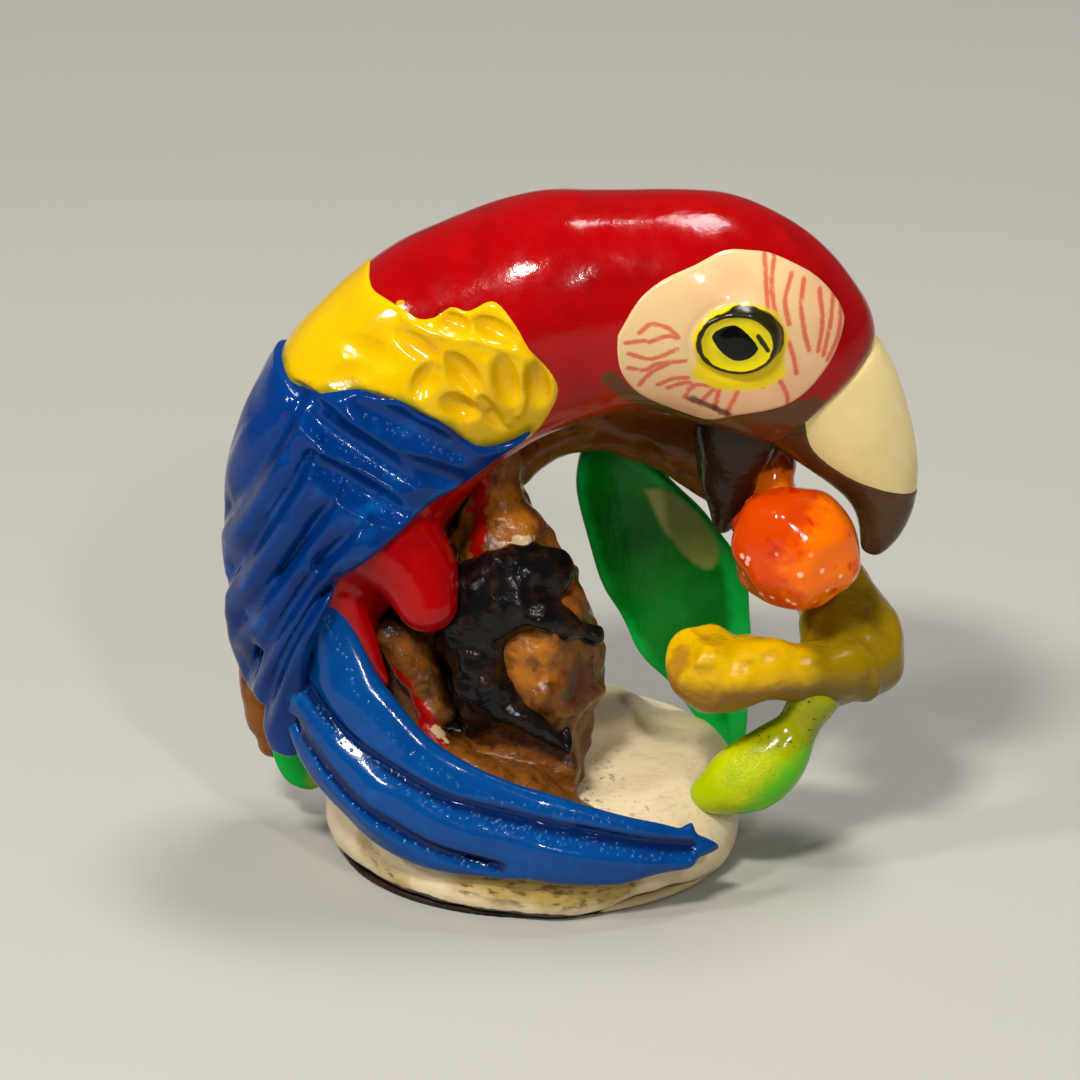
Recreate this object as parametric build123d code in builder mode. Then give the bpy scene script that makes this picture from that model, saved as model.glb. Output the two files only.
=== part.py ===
"""A macaw figurine carved from a palm nut and painted: the bird curls round an open ring, grips a log,
holds a berry in its bill, and stands with a branch, two leaves and a bud on a slice of the same nut.

Frame, in millimetres: the origin is the centre of the underside, +Z is up, the bird faces +X, and its
right side faces -Y. Nothing moves. Each carved element is its own closed solid, let into its neighbours.
"""

import os

from build123d import *

# Base: an elliptical mound of pale nut, highest at the back, on a thin layer of the nut's dark skin.
BASE_LONG, BASE_WIDE = 15.4, 13.6  # half-sizes of the underside along X and Y
SKIN_THICK = 0.7
# (height, half-size along X, half-size along Y, centre X, centre Y) of each level of the mound
BASE_LEVELS = [
    (SKIN_THICK, BASE_LONG, BASE_WIDE, 0, 0),
    (3.0, BASE_LONG + 0.6, BASE_WIDE + 0.3, 0, 0),
    (5.2, BASE_LONG + 0.1, BASE_WIDE - 0.6, 0, 0.3),
    (7.6, 12.6, 9.6, 0, 2.4),
    (9.6, 7.8, 5.6, 0.5, 4.4),
]

# The bird's middle lies in the plane Y = 0, from the root of the tail to the hook of the bill.
# Each ring across it: (x, z, half-width across Y, half-depth).
SPINE = [
    (-12.6, 10.6, 3.4, 3.9),
    (-15.2, 15.6, 4.9, 5.4),
    (-15.9, 22.0, 6.6, 6.9),
    (-14.8, 28.7, 7.9, 8.3),
    (-11.9, 34.9, 8.4, 9.0),
    (-7.3, 39.9, 8.5, 9.2),
    (-1.6, 43.3, 8.3, 9.1),
    (4.0, 44.9, 8.0, 8.8),
    (9.5, 45.1, 7.7, 8.6),
    (14.8, 43.6, 7.5, 8.6),
    (18.4, 41.0, 6.7, 7.6),
    (20.8, 38.2, 5.2, 6.0),
    (23.8, 34.8, 4.2, 4.7),
    (25.6, 31.4, 3.2, 3.4),
    (26.3, 28.4, 2.2, 2.3),
    (26.0, 26.0, 1.4, 1.5),
    (25.3, 24.4, 0.6, 0.7),
]
RUMP, BACK, MANTLE = slice(0, 4), slice(3, 6), slice(5, 8)
SKULL, BILL = slice(7, 12), slice(11, 17)
WING_PROUD = 0.8  # how far the wings stand out of the body
BEAK_EDGE_AT, BEAK_EDGE_TILT = (24.6, 0, 31.0), 27  # where dark horn meets pale horn, and its slope

CHEEK_CENTRE, CHEEK_HALVES = (15.0, 44.0), (8.2, 6.4)  # bare cheek, in X and Z
CHEEK_BACK, EYE_BACK, EYE_FRONT = 4.6, 6.0, 7.9  # distances of the inlays' faces from the plane Y = 0
EYE_CENTRE, EYE_RADIUS, EYE_EDGE = (15.2, 45.0), 2.7, 0.7

# Outlines of the right wing's two fields, in X and Z.
COVERTS = [
    (-12.5, 52.0),
    (-12.2, 47.3),
    (-7.2, 47.0),
    (-3.6, 47.4),
    (1.2, 42.2),
    (-0.4, 38.0),
    (-3.6, 36.4),
    (-8.2, 38.8),
    (-12.6, 41.2),
    (-17.9, 39.8),
    (-24.0, 42.0),
]
WING = [
    (-24.0, 42.0),
    (-17.9, 39.8),
    (-12.6, 41.2),
    (-8.2, 38.8),
    (-3.6, 36.4),
    (-0.4, 38.0),
    (-1.2, 35.4),
    (-8.6, 31.7),
    (-13.4, 28.1),
    (-15.4, 24.5),
    (-16.4, 33.0),
    (-19.0, 38.4),
    (-24.0, 40.6),
]

# Long feathers of the right wing, from the ridge of the back to the belly side: routes over the flank.
PRIMARIES = {
    "primary_1": [(-17.6, -5.4, 39.2), (-20.2, -3.8, 35.6), (-21.8, -2.6, 32.0), (-22.4, -2.0, 28.8)],
    "primary_2": [(-18.2, -6.4, 34.6), (-20.7, -4.8, 30.6), (-22.2, -3.4, 26.8), (-22.8, -2.5, 23.2)],
    "primary_3": [(-18.4, -7.2, 30.4), (-20.9, -5.6, 25.6), (-22.1, -4.0, 20.4), (-21.7, -3.0, 15.2)],
    "primary_4": [(-17.2, -8.0, 26.6), (-19.4, -6.9, 21.2), (-20.3, -5.6, 15.8), (-19.2, -5.0, 10.6)],
}
PRIMARY_HALF_WIDTHS, PRIMARY_HALF_THICK = [1.9, 2.3, 2.1, 0.9], 0.8
PRIMARY_ACROSS = (0.6, -0.8, 0)  # the direction in which the long feathers are wide

# Tail feathers sweep from under the rump round the front of the base: (x, y, z) of their middles.
TAIL = {
    "tail_feather_upper": [
        (-15.2, -6.6, 21.6),
        (-11.8, -9.4, 16.2),
        (-6.5, -11.6, 12.2),
        (1.0, -13.2, 8.9),
        (7.4, -13.3, 6.7),
        (12.6, -11.8, 5.1),
    ],
    "tail_feather_middle": [
        (-17.6, -5.2, 19.0),
        (-15.0, -8.2, 13.2),
        (-10.0, -11.8, 9.3),
        (-2.6, -14.0, 6.7),
        (4.6, -14.4, 5.2),
        (11.2, -12.6, 4.2),
    ],
    "tail_feather_lower": [
        (-18.8, -4.4, 15.4),
        (-16.8, -7.0, 10.4),
        (-13.2, -9.8, 7.4),
        (-9.4, -11.9, 5.9),
        (-6.0, -13.1, 5.0),
        (-3.2, -13.8, 4.6),
    ],
}
TAIL_HALF_WIDTHS = {
    "tail_feather_upper": [2.2, 2.4, 2.1, 1.8, 1.5, 0.7],
    "tail_feather_middle": [2.3, 2.5, 2.3, 2.0, 1.8, 0.8],
    "tail_feather_lower": [1.8, 1.9, 1.6, 1.4, 1.1, 0.6],
}
TAIL_HALF_THICK = [1.1, 1.2, 1.1, 1.0, 0.8, 0.5]

# Legs: an ellipsoid thigh, then a shin with four toes, each as a route with its radii.
THIGH_CENTRE, THIGH_HALVES = (-8.9, -6.4, 26.0), (5.2, 4.0, 5.8)
SHIN = [(-8.0, -7.2, 21.6), (-5.6, -7.9, 20.9), (-3.2, -7.8, 20.8)]
SHIN_RADII = [2.4, 3.1, 2.6]
TOES = {
    "over the log": [(-4.8, -7.8, 21.4), (-2.0, -7.2, 24.4), (0.8, -5.4, 26.2)],
    "front": [(-3.6, -8.2, 21.6), (0.6, -8.4, 22.4), (4.4, -6.8, 20.6)],
    "under": [(-4.4, -8.4, 18.8), (-2.0, -8.9, 15.6), (1.6, -8.4, 13.0)],
    "rear": [(-5.6, -7.6, 19.4), (-5.6, -7.6, 16.0), (-4.8, -7.4, 13.0)],
}
TOE_RADII = [2.0, 1.5, 0.8]
FOOT_LEFT_SHIFT = (-2.6, 2.4, -1.0)  # before mirroring: the left foot grips the log further back

# Wood: a log within the ring, and one branch that arches under the neck and comes back as a twig.
STUMP_ROUTE = [(-1.2, 0.4, 7.0), (-1.4, 0.2, 12.0), (-0.8, 0, 17.5), (-3.0, 0.8, 24.0), (-4.2, 3.0, 30.5)]
STUMP_HALVES = [(5.6, 6.2), (4.6, 5.0), (4.5, 5.2), (4.2, 4.3), (3.3, 3.5)]
KNOB_ROUTE, KNOB_RADII = [(-0.6, -2.0, 18.4), (0.8, -5.0, 17.9), (1.2, -7.2, 17.6)], [4.0, 3.9, 3.5]
BRANCH = [
    (-3.6, 4.0, 30.6, 3.1),
    (0.4, 6.6, 32.4, 3.2),
    (6.0, 7.8, 32.4, 3.1),
    (11.2, 7.6, 30.4, 2.9),
    (15.6, 6.6, 27.2, 2.7),
    (18.8, 5.4, 23.6, 2.5),
    (22.6, 3.2, 19.8, 2.4),
    (25.6, -0.2, 17.2, 2.4),
    (24.2, -3.9, 16.3, 2.4),
    (19.5, -5.6, 16.8, 2.4),
    (14.6, -6.2, 17.4, 2.7),
    (11.4, -6.4, 17.7, 2.1),
]
ARCH, BEND, STUB = slice(0, 6), slice(5, 9), slice(8, 12)
BUD_ROUTE = [(21.4, -4.6, 15.0), (20.2, -4.8, 12.8), (17.4, -5.3, 10.2), (14.8, -5.8, 8.0), (12.0, -6.0, 6.0)]
BUD_RADII = [1.5, 1.4, 2.7, 2.4, 1.4]
SPUR_ROUTE = [(-21.0, 3.8, 7.8), (-21.4, 4.0, 12.0), (-20.4, 4.6, 17.5), (-17.4, 5.8, 23.0)]
SPUR_RADII = [1.4, 2.1, 2.4, 2.4]

# Leaves: routes with the half-widths of the blade.
LEAF_HALF_THICK = 0.65
LARGE_LEAF_ROUTE = [
    (5.4, 7.8, 30.4),
    (8.3, 7.5, 23.8),
    (10.3, 7.1, 18.9),
    (12.4, 6.8, 13.8),
    (14.6, 6.3, 8.6),
    (15.2, 5.4, 3.0),
]
LARGE_LEAF_HALVES = [2.0, 4.3, 4.8, 3.8, 2.4, 1.0]
SMALL_LEAF_ROUTE = [(-20.2, 2.8, 9.0), (-19.2, 2.6, 6.6), (-17.6, 2.4, 4.4), (-15.6, 2.4, 3.4)]
SMALL_LEAF_HALVES = [1.2, 2.1, 1.8, 0.8]

BERRY_CENTRE, BERRY_HALVES = (19.6, -3.6, 26.4), (4.6, 4.2, 4.8)
REAR_BERRY_CENTRE, REAR_BERRY_HALVES = (17.4, 0.6, 28.8), (2.8, 2.6, 3.0)
MANDIBLE_ROUTE = [(14.8, 0, 36.6), (14.5, 0, 33.4), (14.2, 0, 30.2), (14.4, 0, 27.6)]
MANDIBLE_HALVES = [(3.4, 3.0), (2.9, 2.5), (2.2, 1.6), (0.9, 0.7)]


def planes_across(route, level=(0, 1, 0)):
    """A plane square to the route at each of its points, with its x axis as near to level as it goes."""
    points = [Vector(*p) for p in route]
    planes = []
    for i, here in enumerate(points):
        ahead = (points[min(i + 1, len(points) - 1)] - points[max(i - 1, 0)]).normalized()
        side = Vector(*level)
        planes.append(Plane(here, x_dir=side - ahead * side.dot(ahead), z_dir=ahead))
    return planes


def ellipses(planes, halves):
    """An ellipse in each plane, for a loft. Each of halves is a radius or (along the x axis, along y)."""
    outlines = []
    for plane, half in zip(planes, halves):
        along, through = half if isinstance(half, tuple) else (half, half)
        with BuildSketch(plane) as ring:
            Ellipse(along, through)
        outlines.append(ring.sketch)
    return outlines


def rings(route, halves, level=(0, 1, 0)):
    return ellipses(planes_across(route, level), halves)


def flat(half_widths, half_thick):
    """Half-sizes of a blade whose thickness is along the level direction of its route."""
    return [(half_thick, width) for width in half_widths]


def spine_rings(section, proud=0):
    halves = [(across + proud, through + proud) for _, _, across, through in SPINE[section]]
    return ellipses(SPINE_PLANES[section], halves)


def branch_rings(section):
    return ellipses(BRANCH_PLANES[section], [radius for _, _, _, radius in BRANCH[section]])


def side_prism(corners):
    """A prism over an outline in X and Z that takes in the bird's whole right side."""
    with BuildPart() as prism:
        with BuildSketch(Plane.XZ):
            with BuildLine():
                Polyline(*corners, close=True)
            make_face()
        extrude(amount=12)
    return prism.part


def ellipsoid(centre, halves):
    with BuildPart() as ball:
        Sphere(1)
        scale(by=halves, mode=Mode.REPLACE)
    return ball.part.moved(Location(centre))


SPINE_PLANES = planes_across([(x, 0, z) for x, z, _, _ in SPINE])
BRANCH_PLANES = planes_across([(x, y, z) for x, y, z, _ in BRANCH], level=(0, 0, 1))

# ---- base ----

with BuildPart() as base:
    for height, long_half, wide_half, x, y in BASE_LEVELS:
        with BuildSketch(Plane.XY.offset(height)):
            with Locations((x, y)):
                Ellipse(long_half, wide_half)
    loft()

with BuildPart() as base_skin:
    with BuildSketch():
        Ellipse(BASE_LONG, BASE_WIDE)
    extrude(amount=SKIN_THICK)

# ---- body ----

with BuildPart() as rump:
    loft(spine_rings(RUMP))

with BuildPart() as back:
    loft(spine_rings(BACK))

with BuildPart() as mantle:
    loft(spine_rings(MANTLE))

body = [rump.part, back.part, mantle.part]

with BuildPart() as skull:
    loft(spine_rings(SKULL))

# ---- cheeks and eyes, let into the head ----

with BuildPart() as eye_right:
    with BuildSketch(Plane.XZ.offset(EYE_BACK)):
        with Locations(EYE_CENTRE):
            Circle(EYE_RADIUS)
    extrude(amount=EYE_FRONT - EYE_BACK)
    fillet(eye_right.edges().sort_by(Axis.Y)[0], radius=EYE_EDGE)

with BuildPart() as cheek_right:
    with BuildSketch(Plane.XZ.offset(CHEEK_BACK)):
        with Locations(CHEEK_CENTRE):
            Ellipse(*CHEEK_HALVES)
    extrude(amount=10)
    add(skull.part, mode=Mode.INTERSECT)
    add(eye_right.part, mode=Mode.SUBTRACT)

with BuildPart() as cheek_left:
    mirror(cheek_right.part, about=Plane.XZ)

with BuildPart() as eye_left:
    mirror(eye_right.part, about=Plane.XZ)

with BuildPart() as head:
    add(skull.part)
    add([cheek_right.part, cheek_left.part, eye_right.part, eye_left.part], mode=Mode.SUBTRACT)

# ---- bill ----

beak_edge_plane = Plane(BEAK_EDGE_AT, x_dir=(0, 1, 0), z_dir=(0, 0, 1)).rotated((0, BEAK_EDGE_TILT, 0))

with BuildPart() as bill:
    loft(spine_rings(BILL))

with BuildPart() as beak_upper:
    add(bill.part)
    split(bisect_by=beak_edge_plane, keep=Keep.TOP)

with BuildPart() as beak_edge:
    add(bill.part)
    split(bisect_by=beak_edge_plane, keep=Keep.BOTTOM)

with BuildPart() as beak_lower:
    loft(rings(MANDIBLE_ROUTE, MANDIBLE_HALVES))
    add([skull.part, bill.part], mode=Mode.SUBTRACT)

# ---- wings ----

with BuildPart() as wing_skin:
    loft(spine_rings(slice(RUMP.start, MANTLE.stop), proud=WING_PROUD))
    add(body, mode=Mode.SUBTRACT)

with BuildPart() as coverts_right:
    add(wing_skin.part)
    add(side_prism(COVERTS), mode=Mode.INTERSECT)

with BuildPart() as wing_right:
    add(wing_skin.part)
    add(side_prism(WING), mode=Mode.INTERSECT)

with BuildPart() as coverts_left:
    mirror(coverts_right.part, about=Plane.XZ)

with BuildPart() as wing_left:
    mirror(wing_right.part, about=Plane.XZ)

primaries = {}
taken_right = [*body, wing_right.part, coverts_right.part]
taken_left = [*body, wing_left.part, coverts_left.part]
for name, route in PRIMARIES.items():
    with BuildPart() as primary_right:
        loft(rings(route, [(w, PRIMARY_HALF_THICK) for w in PRIMARY_HALF_WIDTHS], PRIMARY_ACROSS))
        add(taken_right, mode=Mode.SUBTRACT)
    with BuildPart() as primary_left:
        mirror(primary_right.part, about=Plane.XZ)
    primaries[name + "_right"] = primary_right
    primaries[name + "_left"] = primary_left
    taken_right.append(primary_right.part)
    taken_left.append(primary_left.part)

# ---- tail ----

tail = {}
taken_right += [base.part, base_skin.part]
for name, route in TAIL.items():
    halves = list(zip(TAIL_HALF_THICK, TAIL_HALF_WIDTHS[name]))
    with BuildPart() as feather:
        loft(rings(route, halves))
        add(taken_right, mode=Mode.SUBTRACT)
    taken_right.append(feather.part)
    tail[name] = feather

# ---- log, branch, leaves and bud ----

with BuildPart() as stump:
    loft(rings(STUMP_ROUTE, STUMP_HALVES))
    add([base.part, *body, wing_left.part, tail["tail_feather_upper"].part], mode=Mode.SUBTRACT)

with BuildPart() as perch_knob:
    loft(rings(KNOB_ROUTE, KNOB_RADII, level=(0, 0, 1)))
    add(stump.part, mode=Mode.SUBTRACT)

with BuildPart() as branch_arch:
    loft(branch_rings(ARCH))
    add([stump.part, *body, skull.part, wing_left.part], mode=Mode.SUBTRACT)

with BuildPart() as twig_bend:
    loft(branch_rings(BEND))

with BuildPart() as twig_stub:
    loft(branch_rings(STUB))

with BuildPart() as bud:
    loft(rings(BUD_ROUTE, BUD_RADII))
    add([base.part, twig_stub.part], mode=Mode.SUBTRACT)

with BuildPart() as branch_spur:
    loft(rings(SPUR_ROUTE, SPUR_RADII))
    add([*taken_left, *[feather.part for feather in tail.values()]], mode=Mode.SUBTRACT)

with BuildPart() as leaf_large:
    loft(rings(LARGE_LEAF_ROUTE, flat(LARGE_LEAF_HALVES, LEAF_HALF_THICK)))
    add([base.part, branch_arch.part], mode=Mode.SUBTRACT)

with BuildPart() as leaf_small:
    loft(rings(SMALL_LEAF_ROUTE, flat(SMALL_LEAF_HALVES, LEAF_HALF_THICK)))
    add([base.part, branch_spur.part, rump.part], mode=Mode.SUBTRACT)
    add([feather.part for feather in tail.values()], mode=Mode.SUBTRACT)

# ---- berries ----

with BuildPart() as berry_front:
    add(ellipsoid(BERRY_CENTRE, BERRY_HALVES))
    add([beak_edge.part, beak_lower.part], mode=Mode.SUBTRACT)

with BuildPart() as berry_rear:
    add(ellipsoid(REAR_BERRY_CENTRE, REAR_BERRY_HALVES))
    add([berry_front.part, beak_lower.part, beak_edge.part, branch_arch.part], mode=Mode.SUBTRACT)

# ---- legs ----

with BuildPart() as thigh_right:
    add(ellipsoid(THIGH_CENTRE, THIGH_HALVES))
    add([*body, wing_right.part, stump.part, tail["tail_feather_upper"].part], mode=Mode.SUBTRACT)

with BuildPart() as thigh_left:
    mirror(ellipsoid(THIGH_CENTRE, THIGH_HALVES), about=Plane.XZ)
    add([*body, wing_left.part, stump.part], mode=Mode.SUBTRACT)

with BuildPart() as foot_shape:
    loft(rings(SHIN, SHIN_RADII, level=(0, 0, 1)))
    for toe in TOES.values():
        loft(rings(toe, TOE_RADII))

with BuildPart() as foot_right:
    add(foot_shape.part)
    add([thigh_right.part, *body, stump.part, perch_knob.part], mode=Mode.SUBTRACT)
    add(tail["tail_feather_upper"].part, mode=Mode.SUBTRACT)

with BuildPart() as foot_left:
    mirror(foot_shape.part.moved(Location(FOOT_LEFT_SHIFT)), about=Plane.XZ)
    add([thigh_left.part, *body, stump.part], mode=Mode.SUBTRACT)

# ---- one file for each node ----

nodes = {
    "base": base,
    "base_skin": base_skin,
    "rump": rump,
    "back": back,
    "mantle": mantle,
    "head": head,
    "cheek_right": cheek_right,
    "cheek_left": cheek_left,
    "eye_right": eye_right,
    "eye_left": eye_left,
    "beak_upper": beak_upper,
    "beak_edge": beak_edge,
    "beak_lower": beak_lower,
    "coverts_right": coverts_right,
    "coverts_left": coverts_left,
    "wing_right": wing_right,
    "wing_left": wing_left,
    **primaries,
    **tail,
    "stump": stump,
    "perch_knob": perch_knob,
    "branch_arch": branch_arch,
    "twig_bend": twig_bend,
    "twig_stub": twig_stub,
    "branch_spur": branch_spur,
    "bud": bud,
    "leaf_large": leaf_large,
    "leaf_small": leaf_small,
    "berry_front": berry_front,
    "berry_rear": berry_rear,
    "thigh_right": thigh_right,
    "thigh_left": thigh_left,
    "foot_right": foot_right,
    "foot_left": foot_left,
}

os.makedirs("parts", exist_ok=True)
for name, piece in nodes.items():
    piece.part.label = name
    export_step(piece.part, f"parts/{name}.step")
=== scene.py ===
"""A carved and painted macaw figurine: the looks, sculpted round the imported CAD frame.

Shapes are sculpted as clay, a lattice of signed distances that starts from the CAD nodes' own surfaces.
Sculpting is in millimetres of the shared frame, and meshes are made in metres. Paint follows distances
that are stored on the meshes' points, so its edges stay sharp between points.
"""

import math

import bpy
import numpy as np
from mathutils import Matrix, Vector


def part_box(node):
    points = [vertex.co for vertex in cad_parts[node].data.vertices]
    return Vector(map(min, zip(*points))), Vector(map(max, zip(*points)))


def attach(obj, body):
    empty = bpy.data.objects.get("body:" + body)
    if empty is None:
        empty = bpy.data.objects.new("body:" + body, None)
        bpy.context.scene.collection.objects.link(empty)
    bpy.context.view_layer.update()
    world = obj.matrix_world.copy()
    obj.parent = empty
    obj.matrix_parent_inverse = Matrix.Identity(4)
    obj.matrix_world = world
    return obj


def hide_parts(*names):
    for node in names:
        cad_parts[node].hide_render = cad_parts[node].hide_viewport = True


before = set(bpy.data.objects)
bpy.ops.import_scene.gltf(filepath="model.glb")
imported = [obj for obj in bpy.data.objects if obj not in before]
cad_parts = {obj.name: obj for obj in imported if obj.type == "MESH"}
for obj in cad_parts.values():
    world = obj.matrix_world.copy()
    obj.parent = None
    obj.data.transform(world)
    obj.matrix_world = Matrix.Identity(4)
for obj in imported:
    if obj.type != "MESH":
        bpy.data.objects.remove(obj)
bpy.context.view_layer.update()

import openvdb as vdb
from mathutils import Vector

MM = 0.001
STEP, FINE = ((0.2, 0.11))  # lattice steps
BAND = 2.4  # distances are only kept this far from a surface
RIGHT = -1  # the bird's right side, towards the camera, is on the side of negative Y


# ---- clay ----


class Clay:
    """Signed distances in millimetres, negative inside, at the points of a block of a cubic lattice."""

    def __init__(self, low, high, step=STEP):
        self.step = step
        self.first = np.floor(np.array(low) / step).astype(int)
        last = np.ceil(np.array(high) / step).astype(int)
        self.field = np.full(last - self.first + 1, BAND, np.float32)

    def window(self, low, high):
        """The part of the block between two corners, and its X, Y and Z, shaped to broadcast over it."""
        low = np.floor(np.array(low) / self.step).astype(int) - self.first
        high = np.ceil(np.array(high) / self.step).astype(int) - self.first + 1
        part, places = [], []
        for axis, (start, stop) in enumerate(zip(low, high)):
            start, stop = np.clip([start, stop], 0, self.field.shape[axis])
            part.append(slice(start, stop))
            shape = [1, 1, 1]
            shape[axis] = -1
            place = (self.first[axis] + np.arange(start, stop)) * self.step
            places.append(place.astype(np.float32).reshape(shape))
        return tuple(part), places

    def places(self):
        return self.window(self.first * self.step, (self.first + self.field.shape) * self.step)[1]

    def add(self, shape, blend=0.0):
        part, distance = shape
        self.field[part] = smooth_min(self.field[part], distance, blend)

    def soften(self, passes):
        """Rounds the surface by averaging neighbours along each axis."""
        for _ in range(passes):
            for axis in range(3):
                f = np.moveaxis(self.field, axis, 0)
                f[1:-1] = 0.25 * f[:-2] + 0.5 * f[1:-1] + 0.25 * f[2:]

    def roughen(self, size, height, seed):
        """Hand-carved unevenness: bumps about size across and height high."""
        self.field += height * lumps(self, size, seed)

    def copy(self):
        twin = Clay.__new__(Clay)
        twin.step, twin.first, twin.field = self.step, self.first, self.field.copy()
        return twin


def smooth_min(a, b, blend):
    if not blend:
        return np.minimum(a, b)
    overlap = np.maximum(blend - np.abs(a - b), 0)
    return np.minimum(a, b) - overlap * overlap / (4 * blend)


def ramp(value, low, high):
    """0 below low, 1 above high and smooth between."""
    t = np.clip((value - low) / (high - low), 0, 1)
    return t * t * (3 - 2 * t)


def lumps(clay, size, seed):
    """Smooth random values, mostly -1 to 1, that change over size millimetres."""
    counts = clay.field.shape
    value = np.random.default_rng(seed).standard_normal([int(n * clay.step / size) + 4 for n in counts])
    for axis, count in enumerate(counts):
        at = np.arange(count) * clay.step / size
        low = at.astype(int)
        t = (at - low).reshape([-1 if a == axis else 1 for a in range(3)])
        before, here, after = (np.take(value, low + n, axis) for n in range(3))
        value = 0.58 * ((1 - t) ** 2 * before + (1 + 2 * t * (1 - t)) * here + t**2 * after)
    return value.astype(np.float32)


def from_nodes(*names, step=STEP, margin=1.6):
    """Clay in the shape of some CAD nodes."""
    boxes = [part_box(name) for name in names]
    low = np.min([box[0] for box in boxes], axis=0) / MM - margin
    high = np.max([box[1] for box in boxes], axis=0) / MM + margin
    clay = Clay(low, high, step)
    for name in names:
        clay.add(node_shape(clay, name))
    return clay


def node_shape(clay, name):
    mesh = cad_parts[name].data
    mesh.calc_loop_triangles()
    points = np.empty(len(mesh.vertices) * 3, np.float64)
    corners = np.empty(len(mesh.loop_triangles) * 3, np.uint32)
    mesh.vertices.foreach_get("co", points)
    mesh.loop_triangles.foreach_get("vertices", corners)
    distance = distances(clay, points.reshape(-1, 3) / MM, triangles=corners.reshape(-1, 3))
    return (slice(None),) * 3, distance


def distances(clay, points, **faces):
    """Signed distances from a mesh, at the clay's lattice points."""
    transform = vdb.createLinearTransform(clay.step)
    options = {"transform": transform, "halfWidth": BAND / clay.step}
    grid = vdb.FloatGrid.createLevelSetFromPolygons(points, **options, **faces)
    distance = np.empty(clay.field.shape, np.float32)
    grid.copyToArray(distance, ijk=tuple(int(i) for i in clay.first))
    return distance


def fill_seams(clay, reach):
    """Closes cracks narrower than twice the reach, by growing the clay and shrinking it again."""
    points, quads = polygons(clay, reach)
    clay.field = distances(clay, points, quads=quads) + reach


def polygons(clay, level=0.0):
    grid = vdb.FloatGrid(BAND)
    grid.copyFromArray(clay.field)
    points, _, quads = grid.convertToPolygons(level, 0.0)
    return (points + clay.first) * clay.step, quads


def spline(points, each=6):
    """A smooth curve through rows of numbers, as rows."""
    p = np.array(points, float)
    p = np.vstack([2 * p[0] - p[1], p, 2 * p[-1] - p[-2]])
    t = np.linspace(0, 1, each, endpoint=False)[:, None]
    rows = []
    for a, b, c, d in zip(p, p[1:], p[2:], p[3:]):
        rows.append(b + 0.5 * t * (c - a + t * (2 * a - 5 * b + 4 * c - d + t * (3 * (b - c) + d - a))))
    return np.vstack([*rows, p[-2:-1]])


def closed(outline, each):
    """A smooth closed curve through the points of an outline."""
    return spline([*outline, outline[0]], each)[:-1]


def dot(places, direction):
    return sum(p * d for p, d in zip(places, direction))


def off_run(places, start, end):
    """Places as seen from the nearest point of a straight run, and that point's share of the run."""
    run = np.subtract(end, start)
    away = [p - s for p, s in zip(places, start)]
    share = np.clip(dot(away, run) / max(run @ run, 1e-9), 0, 1)
    return [a - share * r for a, r in zip(away, run)], share


def off_path(x, y, z, route):
    """Distance from a chain of round cones along rows of x, y, z, radius."""
    nearest = BAND
    ends = route[1:] if len(route) > 1 else route
    for start, end in zip(route, ends):
        away, share = off_run((x, y, z), start[:3], end[:3])
        radius = start[3] + share * (end[3] - start[3])
        nearest = np.minimum(nearest, np.sqrt(dot(away, away)) - radius)
    return nearest


def off_ellipsoid(places, halves):
    """About how far points are outside an ellipsoid round the origin."""
    scaled = [p / h for p, h in zip(places, halves)]
    size = np.sqrt(dot(scaled, scaled)) + 1e-6
    slope = np.sqrt(sum((s / h) ** 2 for s, h in zip(scaled, halves))) + 1e-6
    return size * (size - 1) / slope


def tube(clay, route):
    """A smooth branch along rows of x, y, z, radius."""
    route = spline(route, 4)
    reach = route[:, 3].max() + BAND
    part, places = clay.window(route[:, :3].min(0) - reach, route[:, :3].max(0) + reach)
    return part, off_path(*places, route)


def blade(clay, route, normal):
    """A flattened tube along rows of x, y, z, half-width, half-thickness, thin along the normal."""
    route = np.array(route, float)
    reach = route[:, 3].max() + BAND
    part, places = clay.window(route[:, :3].min(0) - reach, route[:, :3].max(0) + reach)
    distance = BAND
    for start, end in zip(route[:-1], route[1:]):
        away, share = off_run(places, start[:3], end[:3])
        half_wide, half_thick = (start[n] + share * (end[n] - start[n]) for n in (3, 4))
        ahead = Vector(end[:3] - start[:3]).normalized()
        thin = (Vector(normal) - ahead * ahead.dot(Vector(normal))).normalized()
        turned = [dot(away, axis) for axis in (ahead.cross(thin), thin, ahead)]
        distance = np.minimum(distance, off_ellipsoid(turned, (half_wide, half_thick, half_thick)))
    return part, distance


def chunk(clay, centre, halves, cuts=()):
    """An ellipsoid, cut flat with a knife: each cut is a point on it and its outward direction."""
    low, high = np.subtract(centre, halves), np.add(centre, halves)
    part, places = clay.window(low - BAND, high + BAND)
    distance = off_ellipsoid([p - c for p, c in zip(places, centre)], halves)
    for point, outward in cuts:
        away = [p - q for p, q in zip(places, point)]
        distance = np.maximum(distance, dot(away, Vector(outward).normalized()))
    return part, distance


def plate(clay, outline, middle, half_thick):
    """A flat piece with an outline of (x, z) points, round a surface whose Y is middle(x, z)."""
    x, y, z = clay.places()
    edge = -inside(x, z, closed(outline, 4))
    return (slice(None),) * 3, np.maximum(edge, np.abs(y - middle(x, z)) - half_thick)


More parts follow.
